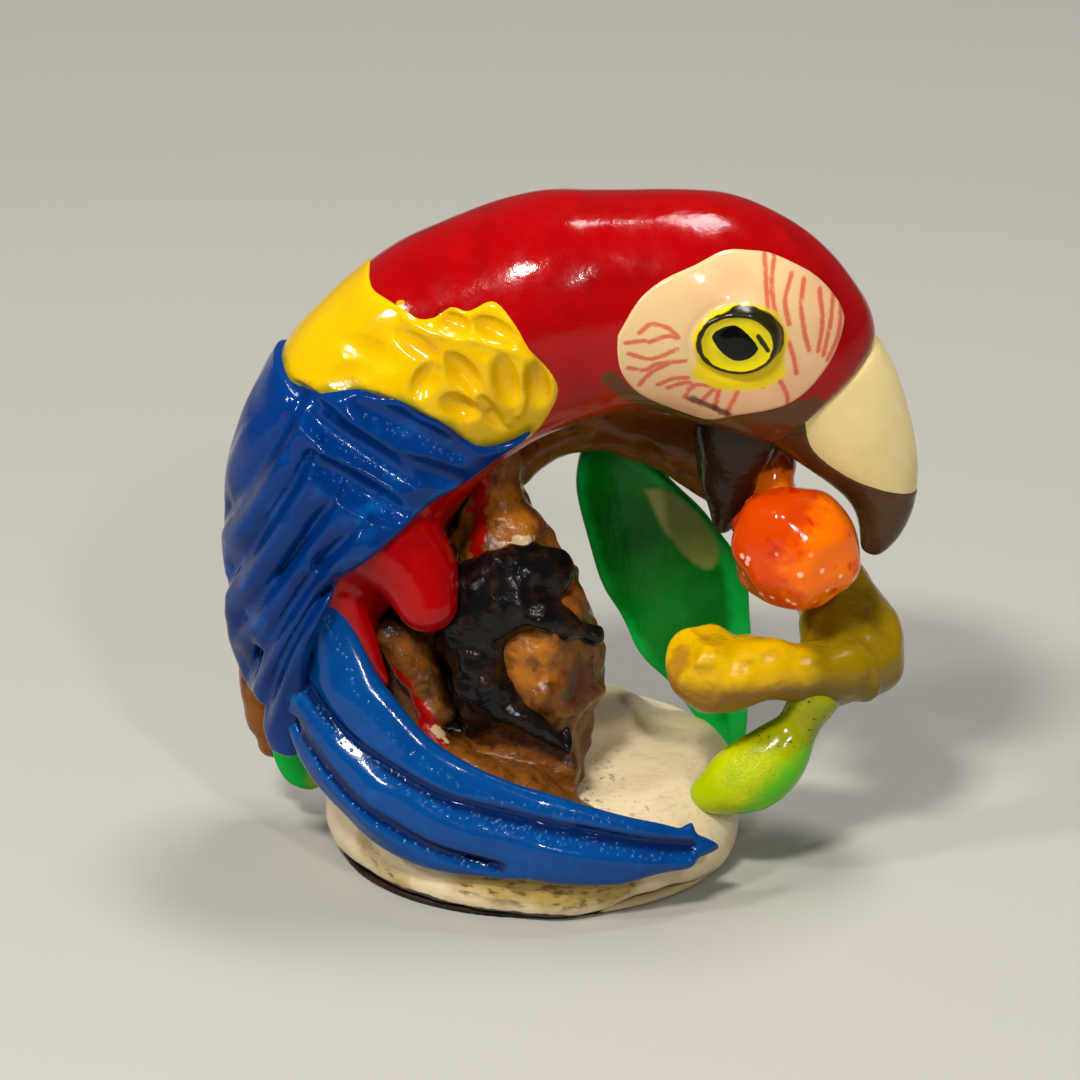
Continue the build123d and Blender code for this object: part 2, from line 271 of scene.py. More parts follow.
def off_line(x, z, line):
    """Distance from a line of (x, z) points, positive on its left, and the share of its length there."""
    line = np.array(line, float)
    lengths = np.hypot(*np.diff(line, axis=0).T)
    travelled = np.concatenate([[0], np.cumsum(lengths)]) / lengths.sum()
    best = np.full(np.broadcast_shapes(x.shape, z.shape), 1e9)
    side = np.ones_like(best)
    share = np.zeros_like(best)
    for start, end, low, high in zip(line[:-1], line[1:], travelled[:-1], travelled[1:]):
        away, along = off_run((x, z), start, end)
        gap = np.hypot(*away)
        nearer = gap < best
        best = np.where(nearer, gap, best)
        turn = (end[0] - start[0]) * away[1] - (end[1] - start[1]) * away[0]
        side = np.where(nearer, np.sign(turn), side)
        share = np.where(nearer, low + along * (high - low), share)
    return best * side, share


def inside(x, z, outline):
    """Distance inside a closed outline of (x, z) points, negative outside."""
    loop = np.vstack([outline, outline[:1]])
    gap = np.abs(off_line(x, z, loop)[0])
    within = np.zeros(gap.shape, bool)
    for (ax, az), (bx, bz) in zip(loop[:-1], loop[1:]):
        if az == bz:
            continue
        crosses = (az > z) != (bz > z)
        within ^= crosses & (x < (bx - ax) * (z - az) / (bz - az) + ax)
    return np.where(within, gap, -gap)


# ---- from clay to pieces ----


def points_of(mesh):
    points = np.empty(len(mesh.vertices) * 3, np.float32)
    mesh.vertices.foreach_get("co", points)
    return points.reshape(-1, 3)


def cast(clay, name, material, surface=None, nodes=None):
    """Makes the clay's surface a piece. surface maps attribute names to functions of x, y, z."""
    points, quads = polygons(clay)
    mesh = bpy.data.meshes.new(name)
    mesh.vertices.add(len(points))
    mesh.vertices.foreach_set("co", (points * MM).astype(np.float32).ravel())
    mesh.loops.add(len(quads) * 4)
    mesh.loops.foreach_set("vertex_index", quads[:, ::-1].astype(np.int32).ravel())
    mesh.polygons.add(len(quads))
    mesh.polygons.foreach_set("loop_start", np.arange(len(quads), dtype=np.int32) * 4)
    mesh.update(calc_edges=True)
    mesh.validate()
    mesh.shade_smooth()
    x, y, z = points_of(mesh).T / MM
    for attribute, function in (surface or {}).items():
        values = np.broadcast_to(function(x, y, z), x.shape).astype(np.float32)
        mesh.attributes.new(attribute, "FLOAT", "POINT").data.foreach_set("value", values)
    mesh.materials.append(material)
    return place_piece(mesh, name, nodes or [name])


def place_piece(mesh, name, nodes):
    piece = bpy.data.objects.new(f"{name}_look", mesh)
    bpy.context.scene.collection.objects.link(piece)
    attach(piece, "root")
    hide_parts(*nodes)
    return piece


# ---- materials ----


def colour(rgb):
    """An sRGB colour of 0 to 255 as linear RGBA."""
    return (*[((c / 255 + 0.055) / 1.055) ** 2.4 if c > 10 else c / 255 / 12.92 for c in rgb], 1)


class Paint:
    """A surface over carved nut, built up in layers of colour, roughness and relief."""

    def __init__(self, name, rgb, gloss=0.2, coat=0.6, glow=0.0):
        self.material = bpy.data.materials.new(name)
        self.material.use_nodes = True
        self.tree = self.material.node_tree
        self.shader = self.tree.nodes["Principled BSDF"]
        self.space = self.node("TexCoord", "Object")
        self.colour = colour(rgb)
        self.rough = gloss
        self.normal = None
        constants = {
            "Coat Weight": coat,
            "Coat Roughness": 0.05,
            "Specular IOR Level": 0.16,
            "Subsurface Weight": glow,
            "Subsurface Scale": 1.2 * MM,
            "Subsurface Radius": (1.0, 0.6, 0.4),
        }
        self.fill(self.shader, constants)

    def fill(self, node, inputs):
        """Links or sets a node's inputs, by name or number."""
        for key, value in inputs.items():
            if isinstance(value, bpy.types.NodeSocket):
                self.tree.links.new(value, node.inputs[key])
            else:
                node.inputs[key].default_value = value

    def node(self, kind, output, inputs=None, **settings):
        """Adds a shader node and returns one of its outputs."""
        node = self.tree.nodes.new("ShaderNode" + kind)
        for key, value in settings.items():
            setattr(node, key, value)
        self.fill(node, inputs or {})
        return node.outputs[output]

    def noise(self, size, detail=3.0, stretch=(1, 1, 1), seed=0.0, warp=0.0):
        """Cloudy noise of 0 to 1 with features about size millimetres across."""
        inputs = {
            "Vector": self.node("Mapping", 0, {"Vector": self.space, "Scale": stretch}),
            "W": seed,
            "Scale": 1 / (size * MM),
            "Detail": detail,
            "Distortion": warp,
        }
        return self.node("TexNoise", "Fac", inputs, noise_dimensions="4D")

    def dots(self, size, core, rim):
        """1 within core of scattered points about size millimetres apart, and 0 past rim from them."""
        away = self.node("TexVoronoi", "Distance", {"Vector": self.space, "Scale": 1 / (size * MM)})
        return self.ramp(away, core, rim, 1.0, 0.0)

    def attribute(self, name):
        return self.node("Attribute", "Fac", attribute_name=name)

    def math(self, operation, a, b=0.0, c=0.0):
        return self.node("Math", 0, {0: a, 1: b, 2: c}, operation=operation)

    def both(self, a, b):
        return self.math("MULTIPLY", a, b)

    def ramp(self, value, low, high, to_low=0.0, to_high=1.0):
        """value mapped from low..high to to_low..to_high, smoothly and within them."""
        inputs = {"Value": value, 1: low, 2: high, 3: to_low, 4: to_high}
        return self.node("MapRange", 0, inputs, interpolation_type="SMOOTHSTEP")

    def layer(self, rgb, mask, strength=1.0):
        """Lays a colour over what is there, where mask is 1."""
        if strength != 1.0:
            mask = self.both(mask, strength)
        inputs = {0: mask, 6: self.colour, 7: colour(rgb)}
        self.colour = self.node("Mix", 2, inputs, data_type="RGBA")

    def edge(self, attribute, wobble=0.15, size=0.8, width=0.05):
        """A mask that is 1 where the stored distance is positive, with a hand-painted edge."""
        wander = self.math("MULTIPLY_ADD", self.noise(size, 3.0, seed=3.0), 2 * wobble, -wobble)
        return self.ramp(self.math("ADD", self.attribute(attribute), wander), -width, width)

    def bump(self, height, depth):
        """Relief of a height of 0 to 1, depth millimetres deep."""
        inputs = {"Height": height, "Distance": depth * MM}
        if self.normal is not None:
            inputs["Normal"] = self.normal
        self.normal = self.node("Bump", "Normal", inputs)

    def finish(self):
        inputs = {"Base Color": self.colour, "Roughness": self.rough}
        if self.normal is not None:
            inputs |= {"Normal": self.normal, "Coat Normal": self.normal}
        self.fill(self.shader, inputs)
        return self.material


def enamel(name, rgb, shade, light, gloss=0.22, coat=0.2, glow=0.0):
    """Thick brushed enamel: uneven colour and a wavy, glossy skin with fine dust in it."""
    paint = Paint(name, rgb, coat=coat, glow=glow)
    paint.layer(shade, paint.ramp(paint.noise(5.0, 4.0, seed=1.0), 0.45, 0.75), 0.6)
    paint.layer(light, paint.ramp(paint.noise(2.4, 4.0, seed=2.0), 0.55, 0.8), 0.5)
    paint.rough = paint.ramp(paint.noise(1.6, 5.0, seed=4.0), 0.3, 0.8, 0.75 * gloss, 1.7 * gloss)
    paint.bump(paint.noise(2.4, 2.0, seed=5.0), 0.06)
    paint.bump(paint.noise(0.3, 3.0, seed=6.0), 0.012)
    return paint


def red_paint():
    paint = enamel("red_enamel", (160, 0, 3), (116, 0, 2), (182, 4, 5), gloss=0.14)
    paint.layer((80, 8, 4), paint.ramp(paint.noise(0.5, 3.0, seed=8.0), 0.74, 0.8), 0.35)
    paint.layer((94, 52, 22), paint.edge("brown", wobble=0.3, size=0.9, width=0.1))
    paint.layer((240, 160, 8), paint.edge("spot", wobble=0.1, size=0.4))
    return paint.finish()


def yellow_paint():
    paint = enamel("yellow_enamel", (222, 178, 0), (204, 148, 0), (236, 196, 2), gloss=0.13)
    # Darker orange in the gouged hollows is painted shade.
    paint.layer((206, 138, 0), paint.ramp(paint.attribute("painted_groove_shade"), 0.1, 1.0), 0.2)
    paint.layer((60, 96, 20), paint.edge("green", wobble=0.6, size=1.4, width=0.5), 0.7)
    paint.layer((96, 74, 10), paint.ramp(paint.noise(0.45, 2.0, seed=10.0), 0.77, 0.8), 0.6)
    return paint.finish()


def blue_paint():
    paint = enamel("blue_enamel", (0, 50, 118), (0, 26, 80), (2, 104, 184), gloss=0.14, coat=0.12)
    # Darker blue along the feather edges is painted shade.
    painted_groove_shade = paint.ramp(paint.attribute("painted_groove_shade"), 0.05, 0.5)
    paint.layer((0, 14, 60), painted_groove_shade, 0.35)
    froth = paint.both(paint.dots(0.45, 0.1, 0.4), paint.ramp(paint.attribute("froth"), 0.5, 1.0))
    paint.layer((30, 110, 190), froth, 0.3)
    paint.bump(froth, 0.07)
    return paint.finish()


def tail_paint():
    paint = enamel("tail_enamel", (0, 66, 134), (0, 42, 100), (6, 108, 180), gloss=0.14)
    # Dark blue in the grooves between the feathers is painted shade.
    painted_groove_shade = paint.ramp(paint.attribute("painted_groove_shade"), 0.05, 0.6)
    paint.layer((0, 16, 66), painted_groove_shade, 0.85)
    froth = paint.both(paint.dots(0.45, 0.1, 0.42), paint.ramp(paint.attribute("crest"), 0.45, 0.95))
    paint.layer((40, 124, 206), froth, 0.35)
    paint.bump(froth, 0.06)
    paint.layer((222, 206, 160), paint.edge("chip", wobble=0.3, size=0.7))
    return paint.finish()


def bill_paint():
    colours = (236, 214, 150), (218, 186, 112), (242, 226, 176)
    return enamel("bill_enamel", *colours, gloss=0.24, glow=0.2).finish()


def face_paint():
    colours = (224, 190, 138), (220, 166, 124), (232, 206, 162)
    paint = enamel("face_enamel", *colours, gloss=0.18, glow=0.2)
    paint.layer((226, 150, 124), paint.ramp(paint.attribute("pink"), 0.0, 1.0), 0.35)
    strokes = paint.edge("stroke", wobble=0.1, size=0.35, width=0.1)
    broken = paint.ramp(paint.noise(0.5, 3.0, seed=33.0), 0.2, 0.45)
    paint.layer((204, 62, 38), paint.both(strokes, broken), 0.78)
    paint.layer((70, 36, 18), paint.edge("dab", wobble=0.3, size=0.5, width=0.15), 0.85)
    paint.layer((226, 196, 6), paint.edge("halo", wobble=0.3, size=0.9, width=0.2))
    paint.layer((34, 32, 8), paint.edge("ring", wobble=0.14, size=0.8, width=0.06))
    paint.layer((214, 196, 8), paint.edge("iris", wobble=0.1, size=0.8, width=0.05))
    paint.layer((40, 36, 8), paint.edge("notch", wobble=0.1, size=0.6))
    paint.layer((3, 3, 3), paint.edge("pupil", wobble=0.1, size=0.8, width=0.04))
    return paint.finish()


def black_paint():
    paint = enamel("black_enamel", (10, 9, 9), (5, 5, 6), (34, 30, 28), gloss=0.2)
    paint.layer((66, 38, 20), paint.ramp(paint.noise(1.5, 3.0, seed=9.0, warp=0.4), 0.45, 0.8), 0.6)
    paint.layer((20, 110, 30), paint.ramp(paint.noise(0.4, 2.0, seed=17.0), 0.79, 0.81))
    paint.bump(paint.noise(0.8, 4.0, seed=19.0, warp=0.6), 0.12)
    return paint.finish()


def wood_paint():
    """Varnished nut husk: amber and brown mottling, with chips, painted shade in the hollows and stray
    red paint.
    """
    paint = enamel("brown_varnish", (126, 72, 20), (62, 30, 10), (164, 104, 34), gloss=0.18)
    paint.layer((176, 106, 28), paint.edge("amber", wobble=0.7, size=0.9, width=0.6), 0.75)
    paint.layer((52, 26, 10), paint.ramp(paint.noise(1.1, 7.0, seed=7.0, warp=0.5), 0.42, 0.76), 0.85)
    paint.layer((66, 34, 24), paint.edge("violet", wobble=0.6, size=1.0, width=0.6), 0.8)
    # Near-black painted shade in the dark hollows by the stump.
    paint.layer((12, 7, 5), paint.edge("painted_hollow_shade", wobble=0.7, size=1.0, width=0.7), 0.95)
    paint.layer((150, 4, 2), paint.edge("red", wobble=0.9, size=0.8, width=0.15), 0.95)
    paint.layer((204, 178, 134), paint.edge("chip", wobble=0.7, size=0.7, width=0.06), 0.9)
    paint.bump(paint.noise(0.7, 5.0, seed=13.0, warp=0.3), 0.2)
    return paint.finish()


def arch_paint():
    paint = enamel("arch_varnish", (132, 76, 14), (74, 38, 8), (176, 112, 26), gloss=0.2)
    streaks = paint.noise(1.2, 4.0, stretch=(0.4, 1, 1), seed=7.0, warp=0.5)
    paint.layer((34, 16, 6), paint.ramp(streaks, 0.54, 0.68), 0.8)
    paint.bump(paint.noise(0.8, 4.0, stretch=(0.5, 1, 1), seed=13.0), 0.08)
    return paint.finish()


def horn_paint():
    paint = enamel("horn_varnish", (80, 52, 28), (48, 28, 14), (108, 72, 42), gloss=0.22)
    paint.layer((26, 14, 8), paint.edge("dark", wobble=0.8, size=1.4, width=0.8), 0.85)
    paint.bump(paint.noise(0.9, 4.0, seed=23.0), 0.1)
    return paint.finish()


def ochre_paint():
    paint = enamel("ochre_enamel", (222, 172, 0), (180, 122, 2), (236, 194, 8), gloss=0.16)
    paint.layer((112, 70, 26), paint.edge("under", wobble=0.7, size=1.4, width=0.8), 0.85)
    paint.layer((104, 88, 0), paint.edge("olive", wobble=0.9, size=1.4, width=1.6), 0.8)
    streaks = paint.noise(1.6, 6.0, stretch=(0.6, 1, 1), seed=14.0, warp=0.6)
    paint.layer((96, 62, 10), paint.ramp(streaks, 0.48, 0.8), 0.65)
    paint.layer((164, 108, 36), paint.edge("cut", wobble=0.6, size=0.9, width=0.3), 0.7)
    paint.bump(paint.noise(0.5, 5.0, stretch=(0.4, 1, 1), seed=15.0), 0.12)
    return paint.finish()


def lime_paint():
    paint = enamel("lime_enamel", (194, 200, 0), (124, 170, 0), (220, 214, 10), gloss=0.15)
    paint.layer((70, 190, 0), paint.edge("bright", wobble=0.9, size=1.2, width=0.8), 0.85)
    paint.layer((120, 122, 4), paint.edge("neck", wobble=0.8, size=1.0, width=0.8), 0.7)
    specks = paint.ramp(paint.noise(0.35, 3.0, seed=27.0), 0.6, 0.68)
    paint.layer((34, 30, 8), paint.both(specks, paint.edge("neck", width=1.2)), 0.8)
    crackle = paint.ramp(paint.noise(0.3, 4.0, seed=31.0, warp=1.0), 0.3, 0.7)
    paint.bump(paint.both(crackle, paint.edge("crackle", width=0.9)), 0.07)
    return paint.finish()


def leaf_paint():
    paint = enamel("leaf_enamel", (0, 112, 22), (0, 76, 8), (0, 136, 34), gloss=0.24, coat=0.03)
    paint.layer((4, 176, 64), paint.edge("rim", wobble=0.5, size=1.4, width=0.6), 0.9)
    # A pale olive painted reflection on the large leaf.
    paint.layer((150, 158, 84), paint.edge("painted_reflection", wobble=0.3, size=1.6, width=0.3), 0.8)
    paint.layer((168, 168, 20), paint.edge("tip", wobble=0.5, size=0.8, width=0.5), 0.8)
    veins = paint.noise(1.0, 3.0, stretch=(1, 1, 0.3), seed=28.0)
    paint.bump(veins, 0.08)
    return paint.finish()


def berry_paint():
    paint = enamel("berry_enamel", (255, 116, 0), (244, 76, 0), (255, 170, 16), gloss=0.11)
    blotches = paint.ramp(paint.noise(1.5, 4.0, seed=41.0, warp=0.4), 0.57, 0.68)
    paint.layer((196, 16, 0), blotches, 0.7)
    paint.layer((186, 12, 0), paint.edge("rim", wobble=1.2, size=1.2, width=0.6), 0.7)
    spots = paint.both(paint.dots(1.2, 0.17, 0.23), paint.edge("spots", wobble=0.8, width=0.8))
    paint.layer((250, 196, 170), spots, 0.85)
    paint.layer((40, 18, 6), paint.edge("husk", wobble=0.6, size=0.6, width=0.2), 0.85)
    return paint.finish()


def nut_surface():
    paint = Paint("nut_ivory", (234, 214, 174), gloss=0.32, coat=0.3, glow=0.25)
    grain = paint.noise(0.5, 5.0, stretch=(0.25, 1, 2.5), seed=21.0)
    paint.layer((186, 156, 104), paint.ramp(grain, 0.45, 0.8), 0.4)
    paint.layer((164, 132, 30), paint.edge("band", wobble=1.0, size=2.0, width=0.8), 0.85)
    streaks = paint.ramp(paint.noise(0.9, 5.0, stretch=(0.6, 1, 1.5), seed=24.0), 0.5, 0.62)
    streaked = paint.edge("band", wobble=0.6, size=1.2, width=0.6)
    paint.layer((70, 50, 12), paint.both(streaks, streaked), 0.75)
    dirt = paint.ramp(paint.noise(0.45, 4.0, seed=25.0), 0.55, 0.66)
    dirty = paint.edge("grime", wobble=1.2, size=1.0, width=1.6)
    paint.layer((64, 42, 22), paint.both(dirt, dirty), 0.85)
    paint.layer((40, 24, 16), paint.edge("rim", wobble=0.5, size=1.3, width=0.1))
    paint.layer((226, 186, 10), paint.edge("fleck", wobble=0.15, size=0.5))
    paint.bump(grain, 0.03)
    return paint.finish()


def nut_skin():
    paint = Paint("nut_skin", (46, 28, 18), gloss=0.5, coat=0.1)
    paint.layer((20, 12, 8), paint.ramp(paint.noise(1.2, 4.0, seed=29.0), 0.4, 0.7))
    paint.layer((200, 178, 136), paint.edge("bare", wobble=1.6, size=2.0, width=0.3))
    paint.bump(paint.noise(0.6, 4.0, seed=22.0), 0.1)
    return paint.finish()


# ---- the bird ----


def gouge(clay, scoops, weight):
    """Cuts with a round gouge, in rows of x, z, half-length, half-width, tilt and depth. Cuts meet in
    ridges."""
    x, _, z = clay.places()
    deepest = 0
    for centre_x, centre_z, half_long, half_wide, tilt, depth in scoops:
        c, s = math.cos(math.radians(tilt)), math.sin(math.radians(tilt))
        along = ((x - centre_x) * c + (z - centre_z) * s) / half_long
        across = ((z - centre_z) * c - (x - centre_x) * s) / half_wide
        deepest = np.maximum(deepest, depth * (1 - along**2 - across**2))
    clay.field += deepest * weight


def feather_edge(clay, line, height, fade, weight):
    """Raises the surface on the left of a line of (x, z) points and drops it on the right, as where one
    feather lies over the next."""
    x, _, z = clay.places()
    gap, share = off_line(x, z, spline(line, 4))
    taper = np.clip(6 * share, 0, 1) * np.clip(6 * (1 - share), 0, 1)
    over = ramp(gap, -0.35, 0.35)
    step = 0.5 * over * np.exp(-np.abs(gap) / fade) - (1 - over) * np.exp(-np.abs(gap) / (0.6 * fade))
    clay.field -= height * taper * step * weight


def right_side(clay):
    """1 over the bird's right side and 0 over its left, with a soft change along its ridge."""
    return ramp(RIGHT * clay.places()[1], 0.0, 1.6)


def mirror(clay):
    """Makes the bird's left side the reflection of its right."""
    right = clay.field[:, : 1 - clay.first[1]]
    clay.field = np.concatenate([right, right[:, -2::-1]], axis=1)


# Below are makers of stored distances: each returns a function of x, y, z.


def near(lines, width):
    """How far points are within width of any of some lines of (x, z) points."""
    curves = [spline(line, 4) for line in lines]
    return lambda x, y, z: width - np.minimum.reduce([np.abs(off_line(x, z, c)[0]) for c in curves])


def around(*routes):
    """How far points are inside any of some chains of round cones."""
    return lambda x, y, z: -np.minimum.reduce([off_path(x, y, z, route) + 0 * x for route in routes])


def nowhere(x, y, z):
    """A stored distance for a piece without that paint."""
    return -2.0


def dark_along(lines, width):
    """1 on some lines of (x, z) points, fading to 0 beside them."""
    reach = near(lines, 0)
    return lambda x, y, z: np.exp(-((reach(x, y, z) / width) ** 2))


TORSO = ("rump", "back", "mantle", "head", "cheek_right", "cheek_left", "eye_right", "eye_left")
SEAM_REACH = 0.8
THIGH = [(-12.4, -5.0, 28.6, 4.2), (-9.4, -6.2, 26.4, 3.5), (-8.2, -7.8, 23.9, 2.3)]
DRIP = [
    (-14.4, -6.0, 23.4, 1.8), (-13.3, -6.5, 20.4, 1.4), (-12.2, -7.1, 18.2, 0.8),
    (-11.4, -7.4, 17.0, 0.4),
]

COVERT_SCOOPS = [
    (-6.0, 46.0, 1.5, 0.9, -15, 0.75), (-3.0, 45.7, 1.9, 1.0, -22, 0.8),
    (-8.1, 42.0, 1.8, 1.0, 60, 0.7), (-5.4, 42.6, 2.0, 1.15, -50, 0.85),
    (-2.2, 42.0, 2.3, 1.0, 100, 0.8), (-5.6, 39.9, 1.7, 1.1, -30, 0.8),
    (0.1, 41.6, 2.2, 1.1, 95, 0.8), (-3.2, 39.2, 2.0, 0.8, 120, 0.6),
    (-8.6, 44.3, 2.2, 0.9, -25, 0.5), (-12.2, 43.4, 2.6, 1.2, -10, 0.2),
    (-13.6, 41.8, 2.2, 0.9, 25, 0.25),
]
COVERT_RIDGES = [
    [(-9.7, 46.2), (-7.8, 45.4), (-5.6, 45.2), (-2.6, 44.7), (-0.3, 43.5)],
    [(-7.0, 43.6), (-5.0, 41.0), (-3.6, 39.6)],
    [(-3.6, 43.6), (-3.4, 41.2), (-2.2, 38.2)],
    [(-1.0, 43.6), (-0.8, 41.0), (-1.2, 39.0)],
]
WING_SCOOPS = [
    (-9.3, 38.0, 5.4, 1.9, -28, 1.6), (-13.0, 36.4, 5.6, 1.7, -32, 1.8),
    (-13.4, 33.5, 4.6, 1.5, -33, 1.6), (-8.2, 34.8, 3.8, 1.3, -30, 1.1),
    (-15.8, 39.0, 2.8, 0.9, -25, 0.8),
]


def bird_clay():
    clay = from_nodes(*TORSO)
    fill_seams(clay, SEAM_REACH)
    clay.soften(4)
    clay.add(tube(clay, THIGH), blend=1.4)
    clay.add(tube(clay, DRIP), blend=0.8)
    clay.soften(2)
    clay.roughen(5.5, 0.2, seed=1)
    clay.roughen(2.2, 0.06, seed=2)
    gouge(clay, COVERT_SCOOPS + WING_SCOOPS, right_side(clay))
    for line in FEATHER_EDGES:
        feather_edge(clay, line, *FEATHER_STEP, right_side(clay))
    mirror(clay)
    return clay


UNDER_FACE = [
    (5.3, 41.7), (6.0, 41.0), (6.8, 39.9), (8.6, 38.6), (10.4, 37.7), (13.0, 36.8), (16.0, 36.0),
]
BROWN_JAW = [
    (8.6, 38.8), (12.6, 37.2), (14.7, 38.2), (17.0, 38.9), (20.4, 39.7), (23.6, 38.4),
    (23.6, 31.0), (8.6, 33.0),
]


def brown_on_body(x, y, z):
    """The dark stroke under the face, and the jaw between the face and the bill."""
    return np.maximum(near([UNDER_FACE], 0.6)(x, y, z), inside(x, z, BROWN_JAW))


def make_body(clay):
    surface = {"brown": brown_on_body, "spot": around([(-10.0, -5.6, 46.9, 0.35)])}
    nodes = ["rump", "back", "mantle", "head", "thigh_right", "thigh_left"]
    return cast(clay, "bird_body", red_paint(), surface, nodes)


COAT_SUNK = 0.5  # a coat runs on under the surface round it, this deep
COAT_HEM = 0.8  # and this far
COAT_DEEP = 1.6  # and its underside is this far below the surface


def coat_over(clay, outline, lift, low, high):
    """A coat over part of the bird's right side: proud of the clay by lift within the outline, and sunk
    into it beyond. Past the ridge it sinks below its reflection."""
    coat = clay.copy()
    x, y, z = coat.places()
    within = inside(x, z, closed(outline, 3))
    rise = (lift + COAT_SUNK) * ramp(within, -0.45, 0.3) - COAT_SUNK
    past_ridge = 0.35 * np.maximum(y, 0) ** 2
    coat.field += past_ridge - rise
    keep = np.maximum(np.maximum(-within - COAT_HEM, y - 0.7), -(clay.field + COAT_DEEP))
    coat.field = np.maximum(coat.field, keep.astype(np.float32))
    part = coat.window(low, high)[0]
    coat.field = coat.field[part].copy()
    coat.first = coat.first + [p.start for p in part]
    return coat


YELLOW_LIFT, BLUE_LIFT, FACE_LIFT = 0.16, 0.7, 0.1  # how proud each coat stands
COVERTS_OUTLINE = [
    (-6.5, 53.2), (-8.2, 51.8), (-9.6, 50.6), (-11.0, 49.2), (-12.1, 48.2), (-12.2, 47.3),
    (-10.9, 47.0), (-9.6, 46.6), (-8.6, 46.2), (-7.2, 46.5), (-6.2, 47.2), (-4.9, 47.0),
    (-3.1, 47.8), (-1.6, 46.4), (-0.4, 44.4), (1.1, 42.6), (1.7, 40.8), (0.9, 38.4),
    (-0.6, 36.0), (-3.6, 35.2), (-5.8, 36.4), (-8.2, 38.0), (-11.0, 39.5), (-15.2, 39.7),
    (-17.6, 39.0), (-19.8, 41.2), (-21.4, 44.0), (-27.0, 50.0), (-16.0, 56.0),
]
WING_OUTLINE = [
    (-27.0, 50.0), (-20.6, 43.8), (-19.3, 41.2), (-17.6, 39.7), (-15.2, 40.3),
    (-13.2, 40.8), (-11.4, 40.3), (-9.8, 40.2), (-8.6, 39.2), (-6.8, 38.4), (-5.4, 37.0),
    (-3.6, 36.0), (-1.6, 36.4), (-0.4, 37.2), (-1.4, 35.6), (-4.9, 33.0), (-8.6, 31.0),
    (-12.4, 28.2), (-14.8, 25.6), (-16.2, 22.4), (-18.0, 18.4), (-19.2, 14.0),
    (-27.0, 12.0), (-28.0, 40.0),
]
BLUE_BORDER = WING_OUTLINE[1:14]


def make_coverts(bird):
    clay = coat_over(bird, COVERTS_OUTLINE, YELLOW_LIFT, (-25, -12, 32), (4, 1, 54))
    gap = near(COVERT_RIDGES, 0)
    x, y, z = clay.places()
    ridge = 0.22 * np.exp(-((gap(x, y, z) / 0.28) ** 2)) * right_side(clay)
    clay.field -= ridge
    border = spline(BLUE_BORDER, 3)
    # Short lines across the gouged hollows, where shade is painted on the yellow.
    hollows = [[(x - 0.8, z), (x + 0.8, z)] for x, z, *_ in COVERT_SCOOPS[:9]]
    surface = {
        "painted_groove_shade": dark_along(hollows, 0.5),
        "green": lambda x, y, z: 0.45 - np.abs(off_line(x, z, border)[0]),
    }
    return cast(clay, "coverts_right", yellow_paint(), surface)


FEATHER_STEP = (1.2, 1.3)  # height, and the distance over which it fades
FEATHER_EDGES = [
    [(-16.8, 40.0), (-18.7, 36.2), (-20.2, 33.5), (-22.2, 29.6), (-24.0, 26.6)],
    [(-15.8, 37.0), (-17.3, 34.0), (-19.7, 29.6), (-21.5, 26.0), (-23.6, 22.2)],
    [(-14.2, 33.4), (-16.2, 30.0), (-18.5, 26.3), (-20.6, 23.0), (-23.2, 18.4)],
    [(-12.2, 31.4), (-15.2, 27.8), (-17.7, 23.8), (-20.1, 19.2), (-22.4, 13.8)],
    [(-14.2, 26.6), (-16.6, 23.4), (-18.5, 19.4), (-19.9, 15.0), (-20.9, 11.4)],
]
PRIMARIES = [
    [(-18.0, -5.6, 38.0), (-20.4, -4.2, 34.6), (-21.9, -2.8, 31.4), (-22.6, -1.8, 28.9)],
    [(-18.2, -6.6, 34.6), (-20.7, -5.2, 30.6), (-22.2, -3.7, 26.8), (-22.9, -2.6, 23.2)],
    [(-17.6, -5.6, 31.0), (-19.8, -4.4, 27.0), (-21.3, -3.2, 23.4), (-21.8, -2.2, 20.2)],
    [(-18.2, -7.2, 30.4), (-20.7, -5.7, 25.6), (-22.0, -4.4, 20.4), (-21.7, -3.2, 15.0)],
    [(-16.8, -8.0, 26.6), (-18.9, -7.2, 21.2), (-19.6, -6.2, 15.8), (-19.2, -5.4, 10.4)],
]
WING_CORE = [
    (-20.8, -3.4, 31.0, 1.3), (-21.0, -3.2, 26.4, 1.4), (-20.8, -3.4, 21.0, 1.6),
    (-20.6, -3.8, 17.0, 1.5), (-20.2, -4.0, 14.0, 1.0),
]
# Half-width and half-thickness along each primary, and the direction each one faces.
PRIMARY_SECTION = [(1.8, 0.8), (2.3, 0.9), (2.3, 0.8), (1.3, 0.5)]
PRIMARY_FACES = [(-1, -0.5, 0), (-1, -0.7, 0), (-1, -0.8, 0), (-0.9, -0.9, 0), (-0.6, -1, 0)]


